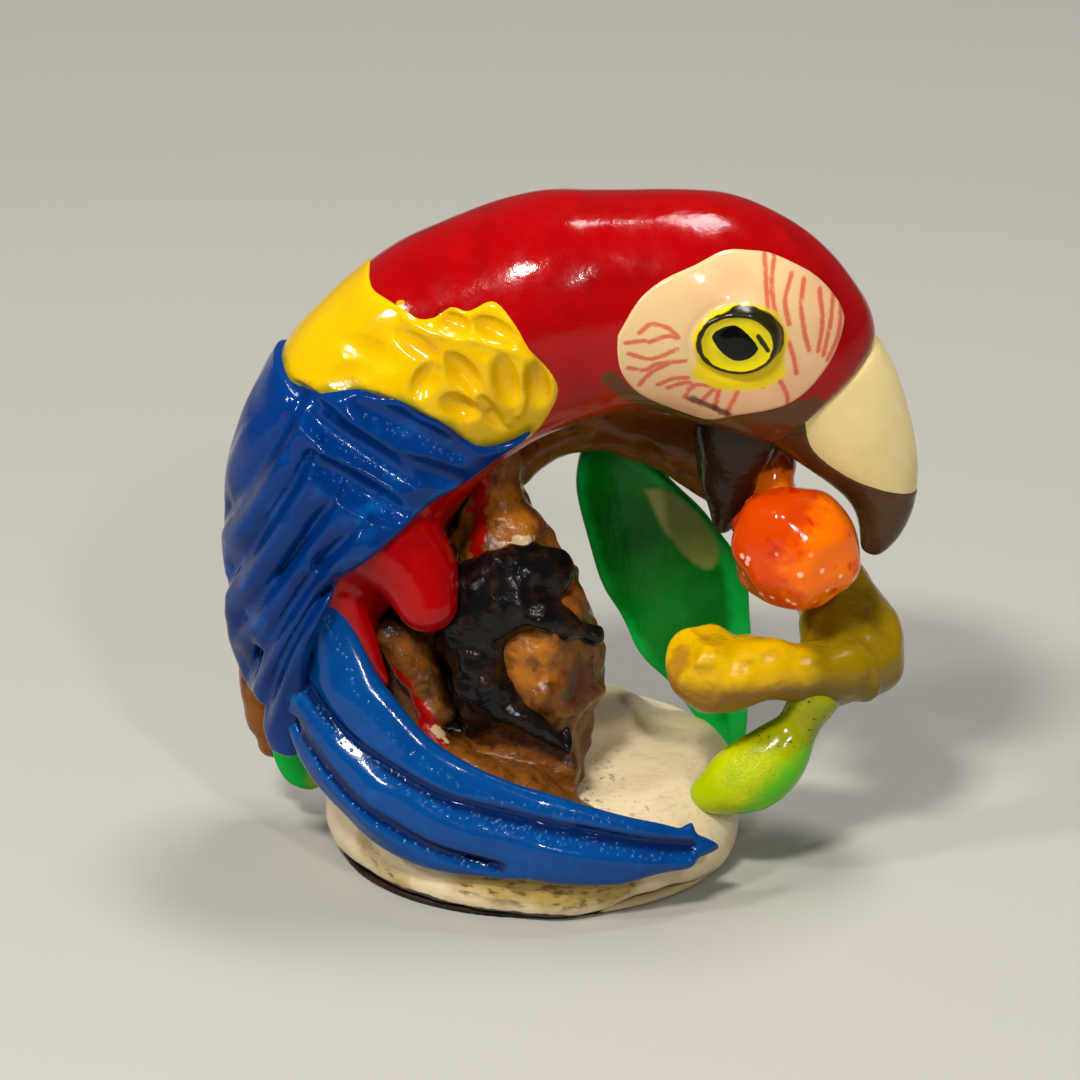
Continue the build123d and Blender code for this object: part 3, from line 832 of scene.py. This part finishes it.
def make_wing(bird):
    clay = coat_over(bird, WING_OUTLINE, BLUE_LIFT, (-26, -12, 8), (1, 1, 44))
    feathers = clay.copy()
    feathers.field[:] = BAND
    for route, normal in zip(PRIMARIES, PRIMARY_FACES):
        rows = [(*point, *section) for point, section in zip(route, PRIMARY_SECTION)]
        feathers.add(blade(clay, spline(rows, 4), normal), blend=0.3)
    feathers.add(tube(clay, WING_CORE), blend=0.8)
    for line in FEATHER_EDGES:
        feather_edge(feathers, line, *FEATHER_STEP, right_side(clay))
    clay.field = smooth_min(clay.field, feathers.field, 0.8)
    clay.roughen(2.6, 0.1, seed=3)
    clay.soften(1)
    troughs = []
    for x, z, half_long, *_ in WING_SCOOPS[:3]:
        upper = (x - 0.6 * half_long, z + 0.2 * half_long)
        troughs.append([upper, (x + 0.7 * half_long, z - 0.5 * half_long)])
    # Painted shade along the feather edges, and froth along the troughs of the scoops.
    surface = {"painted_groove_shade": dark_along(FEATHER_EDGES, 0.2), "froth": dark_along(troughs, 0.8)}
    return cast(clay, "wing_right", blue_paint(), surface, wing_nodes("right"))


def wing_nodes(side):
    return [f"wing_{side}", *[f"primary_{n}_{side}" for n in (1, 2, 3, 4)]]


def mirrored(piece, name, nodes):
    """The same piece on the bird's other side."""
    mesh = piece.data.copy()
    mesh.name = name
    mesh.vertices.foreach_set("co", (points_of(mesh) * (1, -1, 1)).astype(np.float32).ravel())
    mesh.flip_normals()
    return place_piece(mesh, name, nodes)


CHEEK_OUTLINE = [
    (5.9, 45.2), (7.4, 47.8), (9.2, 49.3), (11.7, 50.3), (13.8, 51.0), (15.8, 50.8),
    (17.6, 50.3), (20.2, 48.8), (22.0, 47.0), (22.9, 45.2), (22.4, 43.4), (21.6, 42.0),
    (20.0, 40.1), (18.2, 39.0), (14.7, 38.1), (12.6, 37.3), (10.2, 38.2), (7.6, 39.9),
    (6.3, 41.8), (5.9, 43.6),
]
RED_STROKES = [
    [(16.8, 50.4), (17.0, 47.1)],
    [(17.6, 50.7), (17.3, 48.5), (17.6, 46.3)],
    [(18.8, 48.9), (18.3, 47.4), (18.6, 45.7)],
    [(19.7, 48.4), (19.5, 46.7), (19.8, 44.8), (20.1, 43.6)],
    [(20.9, 47.5), (21.1, 45.5), (20.8, 43.4)],
    [(22.0, 47.3), (21.7, 45.1), (21.2, 43.0)],
    [(22.6, 46.4), (22.3, 44.2), (21.5, 42.6)],
    [(18.6, 44.4), (19.0, 43.0), (19.2, 41.9)],
    [(7.6, 45.4), (8.4, 46.1), (9.6, 45.9), (10.4, 45.2)],
    [(8.3, 44.7), (9.5, 45.2), (10.4, 45.1)],
    [(6.6, 44.6), (8.0, 44.8)],
    [(6.8, 43.7), (8.5, 43.3), (10.4, 44.2)],
    [(6.8, 42.5), (8.0, 42.3), (9.0, 42.9), (11.0, 43.2)],
    [(7.6, 40.9), (8.5, 42.1), (9.7, 42.9)],
    [(9.0, 41.0), (10.2, 41.6), (11.2, 41.7)],
    [(9.7, 40.7), (11.2, 41.3), (11.6, 40.8)],
    [(11.0, 39.8), (11.6, 41.0), (13.1, 41.0)],
    [(12.2, 39.5), (13.5, 41.3)],
    [(13.2, 38.8), (13.5, 40.7)],
    [(14.1, 38.5), (15.0, 40.9)],
    [(16.7, 41.0), (16.9, 42.1)],
    [(17.7, 42.0), (18.5, 40.3), (18.6, 39.4)],
]
EYE_X, EYE_Z = 14.8, 44.7


def off_eye(x, z):
    """Distance from the middle of the eye, as a slightly flattened ring."""
    return np.hypot(x - EYE_X, (z - EYE_Z) * 1.2)


def off_pupil(x, z):
    """Distance from the middle of the pupil, as a tilted diamond with rounded sides."""
    across = np.abs(x - EYE_X + 0.2)
    along = np.abs(1.2 * (z - EYE_Z) + 0.3 * (x - EYE_X))
    return (across**1.5 + along**1.5) ** (1 / 1.5)


def sample(clay, onto):
    """The clay's distances at another lattice's points."""
    value = clay.field
    for axis, place in enumerate(onto.places()):
        at = np.clip(place.ravel() / clay.step - clay.first[axis], 0, clay.field.shape[axis] - 1.001)
        low = at.astype(int)
        t = (at - low).reshape([-1 if a == axis else 1 for a in range(3)])
        value = np.take(value, low, axis) * (1 - t) + np.take(value, low + 1, axis) * t
    return value.astype(np.float32)


def make_face(bird):
    fine = Clay((4, -10, 35), (25, 1, 53), FINE)
    fine.field = sample(bird, fine)
    clay = coat_over(fine, CHEEK_OUTLINE, FACE_LIFT, (4, -10, 35), (25, 0, 53))
    x, _, z = clay.places()
    off = off_eye(x, z)
    lid = 0.3 * np.exp(-(((off - 2.8) / 0.4) ** 2))
    ditch = 0.1 * np.exp(-(((off - 3.5) / 0.4) ** 2))
    rise = 0.3 * ramp(-off, -1.9, -0.6) + lid - ditch
    clay.field -= rise
    surface = {
        "pink": lambda x, y, z: 0.7 * ramp(-z, -44, -41) + 0.5 * ramp(x, 17, 20),
        "stroke": near(RED_STROKES, 0.18),
        "dab": near([[(11.4, 39.7), (13.0, 39.0), (14.2, 38.4)]], 0.3),
        "halo": lambda x, y, z: 3.5 + 1.4 * ramp(-z, -43.6, -41.6) - off_eye(x - 0.2, z),
        "ring": lambda x, y, z: 0.2 + 0.4 * ramp(x + z, 60.5, 62.5) - np.abs(off_eye(x, z) - 2.85),
        "iris": lambda x, y, z: 2.55 - off_eye(x, z),
        "notch": near([[(16.3, 45.3), (17.0, 44.2)]], 0.18),
        "pupil": lambda x, y, z: 1.7 - off_pupil(x, z),
    }
    nodes = ["cheek_right", "eye_right"]
    return cast(clay, "cheek_right", face_paint(), surface, nodes)


BILL_BORDER = [
    (19.4, 40.2), (20.1, 39.2), (20.2, 36.7), (20.9, 34.4), (23.1, 32.4), (25.4, 31.2),
    (29.5, 29.6),
]
JAW = [
    (15.8, -0.6, 37.0, 3.2), (15.6, -0.8, 34.0, 2.7), (15.0, -0.6, 31.4, 1.9),
    (14.3, -0.4, 28.6, 1.3), (14.4, -0.2, 26.9, 0.6),
]


def make_bill():
    clay = from_nodes("beak_upper", "beak_edge", step=0.75 * STEP)
    clay.soften(5)
    clay.roughen(3.0, 0.08, seed=5)
    cast(clay, "beak_upper", bill_paint())
    edge = clay.copy()
    x, _, z = edge.places()
    below = -off_line(x, z, spline(BILL_BORDER, 4))[0]
    rise = 0.58 * ramp(below, -0.3, 0.25) - 0.5
    edge.field = np.maximum(edge.field - rise, -0.8 - below).astype(np.float32)
    horn = horn_paint()
    cast(edge, "beak_edge", horn, {"dark": nowhere})
    jaw = Clay((10, -6, 25), (21, 6, 40), 0.75 * STEP)
    jaw.add(node_shape(jaw, "beak_lower"))
    jaw.add(tube(jaw, JAW), blend=0.6)
    jaw.roughen(2.0, 0.35, seed=16)
    jaw.soften(1)
    cast(jaw, "beak_lower", horn, {"dark": lambda x, y, z: 36.2 - z})


TAIL = {
    "tail_feather_upper": [
        (-16.8, -6.2, 24.6, 1.0, 0.8), (-15.7, -6.9, 21.8, 1.9, 1.0),
        (-13.0, -9.2, 16.2, 2.0, 1.1), (-7.5, -11.6, 11.6, 1.8, 1.0),
        (0.4, -13.0, 8.6, 1.7, 0.9), (7.0, -12.9, 6.8, 1.5, 0.8),
        (11.8, -11.7, 5.5, 1.0, 0.6), (13.6, -11.0, 4.9, 0.4, 0.3),
    ],
    "tail_feather_middle": [
        (-17.4, -5.6, 19.4, 1.8, 1.0), (-15.6, -8.4, 13.4, 2.5, 1.3),
        (-10.4, -12.0, 9.3, 2.4, 1.2), (-2.6, -14.0, 6.7, 2.1, 1.0),
        (4.6, -14.2, 5.2, 1.8, 0.8), (11.4, -12.4, 4.6, 0.5, 0.4),
    ],
    "tail_feather_lower": [
        (-18.0, -5.0, 16.2, 1.4, 0.9), (-16.2, -7.6, 11.4, 1.9, 1.1),
        (-12.6, -10.4, 8.1, 1.8, 1.0), (-9.4, -12.2, 5.9, 1.4, 0.8),
        (-5.8, -13.4, 5.0, 1.1, 0.6), (-2.6, -14.1, 4.6, 0.5, 0.4),
    ],
}
TAIL_GROOVES = [
    [
        (-17.4, 17.0), (-15.6, 15.0), (-13.2, 13.2), (-10.2, 11.6), (-5.7, 9.7), (-0.4, 8.6),
        (6.3, 6.9), (11.6, 5.6),
    ],
    [(-18.0, 14.0), (-16.7, 12.2), (-14.0, 9.6), (-11.0, 7.9), (-7.2, 6.2), (-2.7, 5.2)],
]
TAIL_CORE = [
    (-15.4, -6.6, 18.0, 1.8), (-12.4, -9.4, 12.9, 1.9), (-6.0, -11.8, 9.6, 1.8),
    (2.4, -12.8, 7.3, 1.4),
]
TAIL_BARB = [(11.2, -11.5, 5.9, 0.8), (11.7, -11.2, 6.8, 0.3)]
TAIL_TOP = [
    (-15.8, 23.0), (-14.0, 18.8), (-11.6, 15.2), (-8.3, 12.6), (-4.2, 10.4), (1.4, 9.2),
    (7.4, 7.7),
]


def make_tail():
    clay = Clay((-23, -17, 1), (16, 0, 28))
    for rows in TAIL.values():
        clay.add(blade(clay, spline(rows, 5), (-0.2, -1, 0.25)), blend=0.9)
    clay.add(tube(clay, TAIL_CORE), blend=0.5)
    clay.add(tube(clay, TAIL_BARB), blend=0.6)
    x, _, z = clay.places()
    for groove in TAIL_GROOVES:
        gap = off_line(x, z, spline(groove, 4))[0]
        cut = 0.6 * np.exp(-np.abs(gap) / 0.5) - 0.25 * np.exp(-(((gap + 1.3) / 0.7) ** 2))
        clay.field += cut
    clay.roughen(2.4, 0.17, seed=6)
    clay.soften(1)
    crests = [[(x + 0.2, z - 0.75) for x, z in groove] for groove in TAIL_GROOVES]
    surface = {
        # Painted shade in the grooves between the feathers.
        "painted_groove_shade": dark_along(TAIL_GROOVES, 0.45),
        "crest": dark_along([*crests, TAIL_TOP], 0.5),
        "chip": around([(9.6, -11.6, 7.2, 0.3), (10.8, -11.2, 6.9, 0.35)]),
    }
    cast(clay, "tail", tail_paint(), surface, list(TAIL))


# ---- wood, leaves and berries ----

HOLLOW_WALL = [(-9.6, -2.0, 20.4, 3.4), (-8.2, -2.6, 15.6, 3.4), (-6.0, -3.6, 10.6, 4.0)]
HOLLOW_LUMP = [(-10.2, -5.0, 20.0, 1.6), (-9.0, -5.6, 17.6, 1.7), (-7.6, -6.6, 14.4, 1.4)]
COLUMN = [
    (-3.0, 0.0, 33.4, 2.3), (-2.9, -0.6, 29.4, 2.2), (-2.3, -1.8, 26.4, 3.0),
    (-1.0, -2.6, 22.6, 4.2),
]
GROUND = [
    (-8.6, -7.6, 12.4, 1.4), (-5.4, -9.0, 10.6, 1.7), (-1.4, -9.8, 8.8, 1.8),
    (2.6, -9.2, 7.0, 1.4), (4.4, -8.0, 6.0, 0.9),
]
# Each knife cut is a point on it and its outward direction.
KNOB_CUTS = [
    ((-0.4, -8.8, 18.6), (-0.25, -1, 0.2)),
    ((3.0, -7.6, 17.0), (0.75, -0.8, 0.1)),
    ((4.6, -4.0, 18.0), (1, -0.1, 0.25)),
]
ROOT_CUTS = [
    ((0, -8.2, 9.0), (-0.1, -1, 0.25)),
    ((3.5, -6.0, 9.0), (1, -0.15, 0.12)),
    ((0, -7.0, 13.2), (0, -0.5, 1)),
]
STUMP_PAINT = {
    "amber": [
        [(-0.2, -8.6, 19.4, 2.2)],
        [(-2.2, -3.0, 29.4, 1.8), (-1.0, -4.6, 27.4, 1.6)],
    ],
    "violet": [[(3.8, -7.0, 16.4, 1.9)]],
    # Painted shade in the hollows under the rump and beside the foot.
    "painted_hollow_shade": [
        [(-11.0, -5.0, 21.6, 2.2), (-10.6, -4.6, 19.0, 1.2)],
        [(-6.6, -6.4, 18.0, 1.4), (-6.0, -7.0, 13.0, 1.2)],
    ],
    "red": [
        [(-4.7, -2.0, 33.0, 1.3), (-4.9, -2.8, 29.8, 1.4), (-5.2, -4.4, 26.8, 1.4)],
        [(-10.6, -7.4, 17.4, 0.7), (-8.4, -8.4, 14.2, 0.8), (-7.2, -9.0, 12.6, 0.7)],
    ],
    "chip": [
        [(-1.8, -4.8, 27.4, 0.35), (1.3, -4.0, 27.5, 0.45)],
        [
            (-7.6, -8.6, 13.6, 0.45), (-6.9, -9.2, 12.4, 0.4), (-5.0, -10.5, 11.2, 0.15),
            (-2.6, -11.4, 10.0, 0.2), (1.6, -11.0, 8.4, 0.2),
        ],
    ],
}


def make_stump():
    clay = Clay((-14, -13, 3.5), (8, 9, 35), 0.8 * STEP)
    clay.add(node_shape(clay, "stump"))
    for route in (HOLLOW_WALL, COLUMN):
        clay.add(tube(clay, route), blend=0.8)
    clay.add(chunk(clay, (1.0, -4.4, 17.8), (4.8, 5.2, 6.0), KNOB_CUTS), blend=0.5)
    clay.add(chunk(clay, (-0.8, -3.6, 8.6), (6.4, 6.4, 6.4), ROOT_CUTS), blend=0.5)
    clay.add(tube(clay, HOLLOW_LUMP), blend=0.3)
    clay.add(tube(clay, GROUND), blend=0.6)
    clay.roughen(2.6, 0.4, seed=7)
    clay.roughen(1.0, 0.22, seed=17)
    clay.soften(1)
    surface = {name: around(*routes) for name, routes in STUMP_PAINT.items()}
    cast(clay, "stump", wood_paint(), surface, ["stump", "perch_knob"])


def make_branches():
    varnish = arch_paint()
    for name, seed in (("branch_arch", 8), ("branch_spur", 9)):
        clay = from_nodes(name, margin=2.6)
        clay.soften(2)
        if name == "branch_spur":
            clay.add(tube(clay, [(-20.9, 3.9, 9.0, 1.7), (-20.6, 3.6, 6.8, 1.3)]), blend=1.0)
        clay.roughen(3.2, 0.45, seed=seed)
        clay.roughen(1.3, 0.14, seed=seed + 10)
        cast(clay, name, varnish)


ELBOW = [
    (21.6, 4.6, 21.0, 2.5), (23.0, 2.4, 19.6, 2.9), (23.3, -0.4, 17.9, 3.2),
    (22.8, -3.0, 16.5, 3.1), (20.4, -4.8, 16.4, 2.6), (17.6, -5.6, 16.9, 2.3),
    (15.0, -6.0, 17.3, 2.3), (13.2, -6.1, 17.6, 2.5),
]


TWIG_CUTS = [
    ((11.0, -7.0, 19.3), (-0.75, -0.45, 0.6)),
    ((13.0, -6.5, 20.6), (0.1, -0.1, 1)),
    ((12.0, -8.6, 17.0), (-0.2, -1, -0.1)),
]


def make_twig():
    clay = Clay((7, -11, 11), (30, 10, 26))
    clay.add(tube(clay, ELBOW))
    clay.add(chunk(clay, (12.8, -6.1, 17.8), (3.3, 3.1, 3.4), TWIG_CUTS), blend=0.6)
    nodes = ["twig_bend", "twig_stub"]
    for name in nodes:
        clay.add(node_shape(clay, name), blend=0.4)
    clay.roughen(3.0, 0.4, seed=10)
    clay.roughen(1.2, 0.12, seed=20)
    surface = {
        "under": lambda x, y, z: 16.4 - z - 0.3 * (y + 6),
        "olive": lambda x, y, z: x - 20.5,
        "cut": around([(10.2, -7.4, 19.2, 1.4), (9.8, -7.4, 17.4, 1.2)]),
    }
    cast(clay, "twig", ochre_paint(), surface, nodes)


BUD = [
    (21.2, -4.6, 14.6, 2.0), (19.9, -4.9, 12.0, 1.6), (18.2, -5.2, 9.9, 2.4),
    (16.2, -5.7, 8.2, 2.8), (14.0, -6.0, 7.2, 1.9), (12.8, -6.1, 7.1, 1.1),
]


def make_bud():
    clay = Clay((9, -10, 2), (25, 0, 18))
    clay.add(tube(clay, BUD))
    clay.roughen(2.4, 0.2, seed=11)
    surface = {
        "neck": lambda x, y, z: z - 11.0,
        "bright": lambda x, y, z: 0.7 * (x - 16.6) + 0.7 * (7.8 - z),
        "crackle": around([(16.2, -8.0, 9.4, 2.2)]),
    }
    cast(clay, "bud", lime_paint(), surface)


LARGE_LEAF = [
    (3.5, 29.6), (5.9, 29.8), (8.6, 28.4), (11.9, 25.4), (14.5, 22.4), (16.1, 19.8),
    (16.6, 16.4), (16.6, 10.0), (16.4, 6.0), (15.8, 3.2), (14.4, 3.2), (13.6, 6.4),
    (11.2, 9.3), (8.8, 12.2), (6.0, 16.4), (4.2, 22.0), (3.3, 26.0),
]
# Outline of the painted reflection on the large leaf.
LEAF_REFLECTION = [
    (8.4, 26.4), (10.0, 26.3), (12.2, 24.6), (13.8, 22.4), (14.0, 20.4), (13.2, 19.8),
    (11.6, 21.0), (9.6, 23.6),
]
SMALL_LEAF = [
    (-20.4, 8.4), (-20.5, 6.4), (-19.6, 4.2), (-18.2, 3.3), (-16.9, 3.4), (-16.3, 4.6),
    (-17.6, 6.6), (-18.6, 8.6),
]


def large_leaf_middle(x, z):
    """The leaf curls towards the camera at its foot and away from it at its edges."""
    return 7.9 - 0.0035 * (30 - z) ** 2 + 0.012 * (x - 10.2) ** 2


def make_leaves():
    green = leaf_paint()
    clay = Clay((1.5, 3, 2), (18.5, 11, 31.5), 0.75 * STEP)
    clay.add(plate(clay, LARGE_LEAF, large_leaf_middle, 0.5))
    clay.soften(2)
    clay.roughen(3.0, 0.2, seed=18)
    # The painted reflection's outline, smoothed.
    painted_reflection = closed(LEAF_REFLECTION, 4)
    surface = {
        "rim": lambda x, y, z: 0.4 + 1.2 * ramp(x, 9, 16) - inside(x, z, LARGE_LEAF),
        "painted_reflection": lambda x, y, z: inside(x, z, painted_reflection),
        "tip": nowhere,
    }
    cast(clay, "leaf_large", green, surface)
    clay = Clay((-23, -1, 1), (-14, 6, 11), 0.75 * STEP)
    clay.add(plate(clay, SMALL_LEAF, lambda x, z: 2.6 + 0.03 * (x + 18) ** 2, 0.9))
    clay.soften(4)
    surface = {
        "rim": lambda x, y, z: 2.0,
        "painted_reflection": nowhere,
        "tip": lambda x, y, z: x + 17.6,
    }
    cast(clay, "leaf_small", green, surface)


STALK = [(17.9, 1.2, 34.6, 1.6), (18.0, 0.8, 32.0, 1.7), (17.4, 0.8, 29.0, 1.6)]


def make_berries():
    orange = berry_paint()
    clay = from_nodes("berry_front", step=0.75 * STEP)
    clay.soften(2)
    clay.roughen(1.9, 0.35, seed=42)
    surface = {
        "rim": lambda x, y, z: 0.5 * (30.6 - x) - 6.2 + 0.35 * np.abs(z - 26.4),
        "spots": lambda x, y, z: 27.4 - z,
        "husk": nowhere,
    }
    cast(clay, "berry_front", orange, surface)
    clay = Clay((12, -5, 23), (23, 6, 37), 0.75 * STEP)
    clay.add(chunk(clay, (16.6, 0.4, 28.2), (2.9, 2.6, 2.9)))
    clay.add(tube(clay, STALK), blend=0.6)
    clay.roughen(0.9, 0.3, seed=13)
    surface = {
        "rim": lambda x, y, z: 29.4 - z,
        "spots": nowhere,
        "husk": lambda x, y, z: np.maximum(z - 31.4, 14.6 - x),
    }
    cast(clay, "berry_rear", orange, surface)


CLAWS = [
    [
        (-4.4, -5.4, 24.8, 1.8), (-2.7, -6.0, 25.2, 2.0), (-0.4, -5.6, 25.2, 2.0),
        (0.8, -4.6, 24.9, 1.7),
    ],
    [
        (-1.6, -6.4, 23.8, 2.2), (-3.4, -6.4, 22.8, 2.6), (-4.7, -6.8, 20.0, 2.6),
        (-4.5, -6.8, 16.0, 2.1), (-4.4, -6.8, 13.2, 1.3),
    ],
    [
        (-2.3, -7.2, 23.4, 1.7), (1.0, -7.8, 22.5, 1.3), (3.6, -7.0, 20.9, 1.0),
        (4.6, -5.8, 19.7, 0.6),
    ],
    [
        (-3.5, -8.0, 16.9, 1.7), (-1.6, -8.9, 15.1, 1.15), (0.7, -9.3, 13.4, 0.8),
        (2.1, -9.0, 12.8, 0.65), (2.4, -9.0, 13.6, 0.45),
    ],
]


def make_feet():
    black = black_paint()
    clay = Clay((-9.5, -12, 9.5), (7.5, -1, 29.5), 0.8 * STEP)
    for route in CLAWS:
        clay.add(tube(clay, route), blend=0.7)
    clay.roughen(2.0, 0.4, seed=14)
    clay.roughen(0.9, 0.22, seed=24)
    clay.soften(1)
    cast(clay, "foot_right", black)
    clay = from_nodes("foot_left")
    clay.soften(2)
    clay.roughen(1.4, 0.3, seed=15)
    cast(clay, "foot_left", black)


BASE_BANDS = [
    [(-5.0, -12.6, 3.4, 1.5), (1.0, -14.0, 2.8, 1.6), (7.0, -13.0, 2.6, 1.5)],
    [(-12.6, -7.6, 3.4, 0.8), (-10.0, -10.0, 1.6, 0.9)],
]
BASE_GRIME = [
    [(3.6, -8.4, 6.4, 1.6), (5.0, -6.0, 6.4, 1.8), (6.0, -3.0, 6.4, 1.6)],
    [(7.8, -8.6, 5.9, 1.0)],
]


def make_base():
    clay = from_nodes("base")
    clay.soften(6)
    clay.roughen(6.0, 0.45, seed=15)
    clay.roughen(1.6, 0.08, seed=25)
    surface = {
        "band": around(*BASE_BANDS),
        "grime": around(*BASE_GRIME),
        "rim": lambda x, y, z: 0.9 + 0.35 * ramp(-x, 0, 12) - z - 1.4 * ramp(x, 0, 8),
        "fleck": around([(13.4, -8.6, 4.6, 0.45), (13.9, -8.0, 4.2, 0.4)]),
    }
    cast(clay, "base", nut_surface(), surface)
    skin = from_nodes("base_skin")
    skin.field += 0.12
    cast(skin, "base_skin", nut_skin(), {"bare": lambda x, y, z: x - 5.0})


# ---- the picture ----


def make_stage():
    mesh = bpy.data.meshes.new("floor")
    mesh.from_pydata([(-2, -1.2, 0), (2, -1.2, 0), (2, 2.5, 0), (-2, 2.5, 0)], [], [(0, 1, 2, 3)])
    floor = bpy.data.objects.new("floor", mesh)
    bpy.context.scene.collection.objects.link(floor)
    paint = Paint("floor_cloth", (178, 175, 166), gloss=0.8, coat=0.0)
    floor.data.materials.append(paint.finish())


def look_at(thing, point):
    thing.rotation_euler = (Vector(point) - thing.location).to_track_quat("-Z", "Y").to_euler()


def area_light(name, place, size, power, tint=(1, 1, 1)):
    """A soft light of a width and height in metres, aimed at the figurine."""
    data = bpy.data.lights.new(name, "AREA")
    data.shape = "RECTANGLE"
    data.size, data.size_y = size
    data.energy = power
    data.color = tint
    light = bpy.data.objects.new(name, data)
    light.location = place
    look_at(light, (0, 0, 0.025))
    bpy.context.scene.collection.objects.link(light)


def make_lights():
    area_light("key", (-0.14, -0.3, 0.46), (0.1, 0.05), 2.3, (1, 0.97, 0.92))
    area_light("overhead", (0.12, 0.12, 0.6), (0.2, 0.12), 1.9)
    area_light("front", (0.14, -0.42, 0.36), (0.03, 0.05), 0.7)
    area_light("left", (-0.4, -0.18, 0.38), (0.05, 0.06), 0.9)
    world = bpy.data.worlds.new("studio")
    world.use_nodes = True
    background = world.node_tree.nodes["Background"]
    background.inputs["Color"].default_value = (0.92, 0.95, 1.0, 1)
    background.inputs["Strength"].default_value = 0.1
    bpy.context.scene.world = world
    bpy.context.scene.view_settings.view_transform = "Standard"


CAMERA_RISE = math.radians(24)
CAMERA_AWAY, VIEW_WIDE, SENSOR = 0.440, 0.082, 36.0


def make_camera():
    target = Vector((0.0003, 0, 0.0254))
    data = bpy.data.cameras.new("camera")
    data.sensor_width = SENSOR
    data.lens = SENSOR * CAMERA_AWAY / VIEW_WIDE
    data.clip_start = 0.01
    camera = bpy.data.objects.new("camera", data)
    camera.location = target + CAMERA_AWAY * Vector((0, -math.cos(CAMERA_RISE), math.sin(CAMERA_RISE)))
    look_at(camera, target)
    bpy.context.scene.collection.objects.link(camera)
    bpy.context.scene.camera = camera


make_camera()
make_stage()
make_lights()
bird = bird_clay()
make_body(bird)
mirrored(make_coverts(bird), "coverts_left", ["coverts_left"])
mirrored(make_wing(bird), "wing_left", wing_nodes("left"))
mirrored(make_face(bird), "cheek_left", ["cheek_left", "eye_left"])
make_bill()
make_tail()
make_stump()
make_branches()
make_twig()
make_bud()
make_leaves()
make_berries()
make_feet()
make_base()
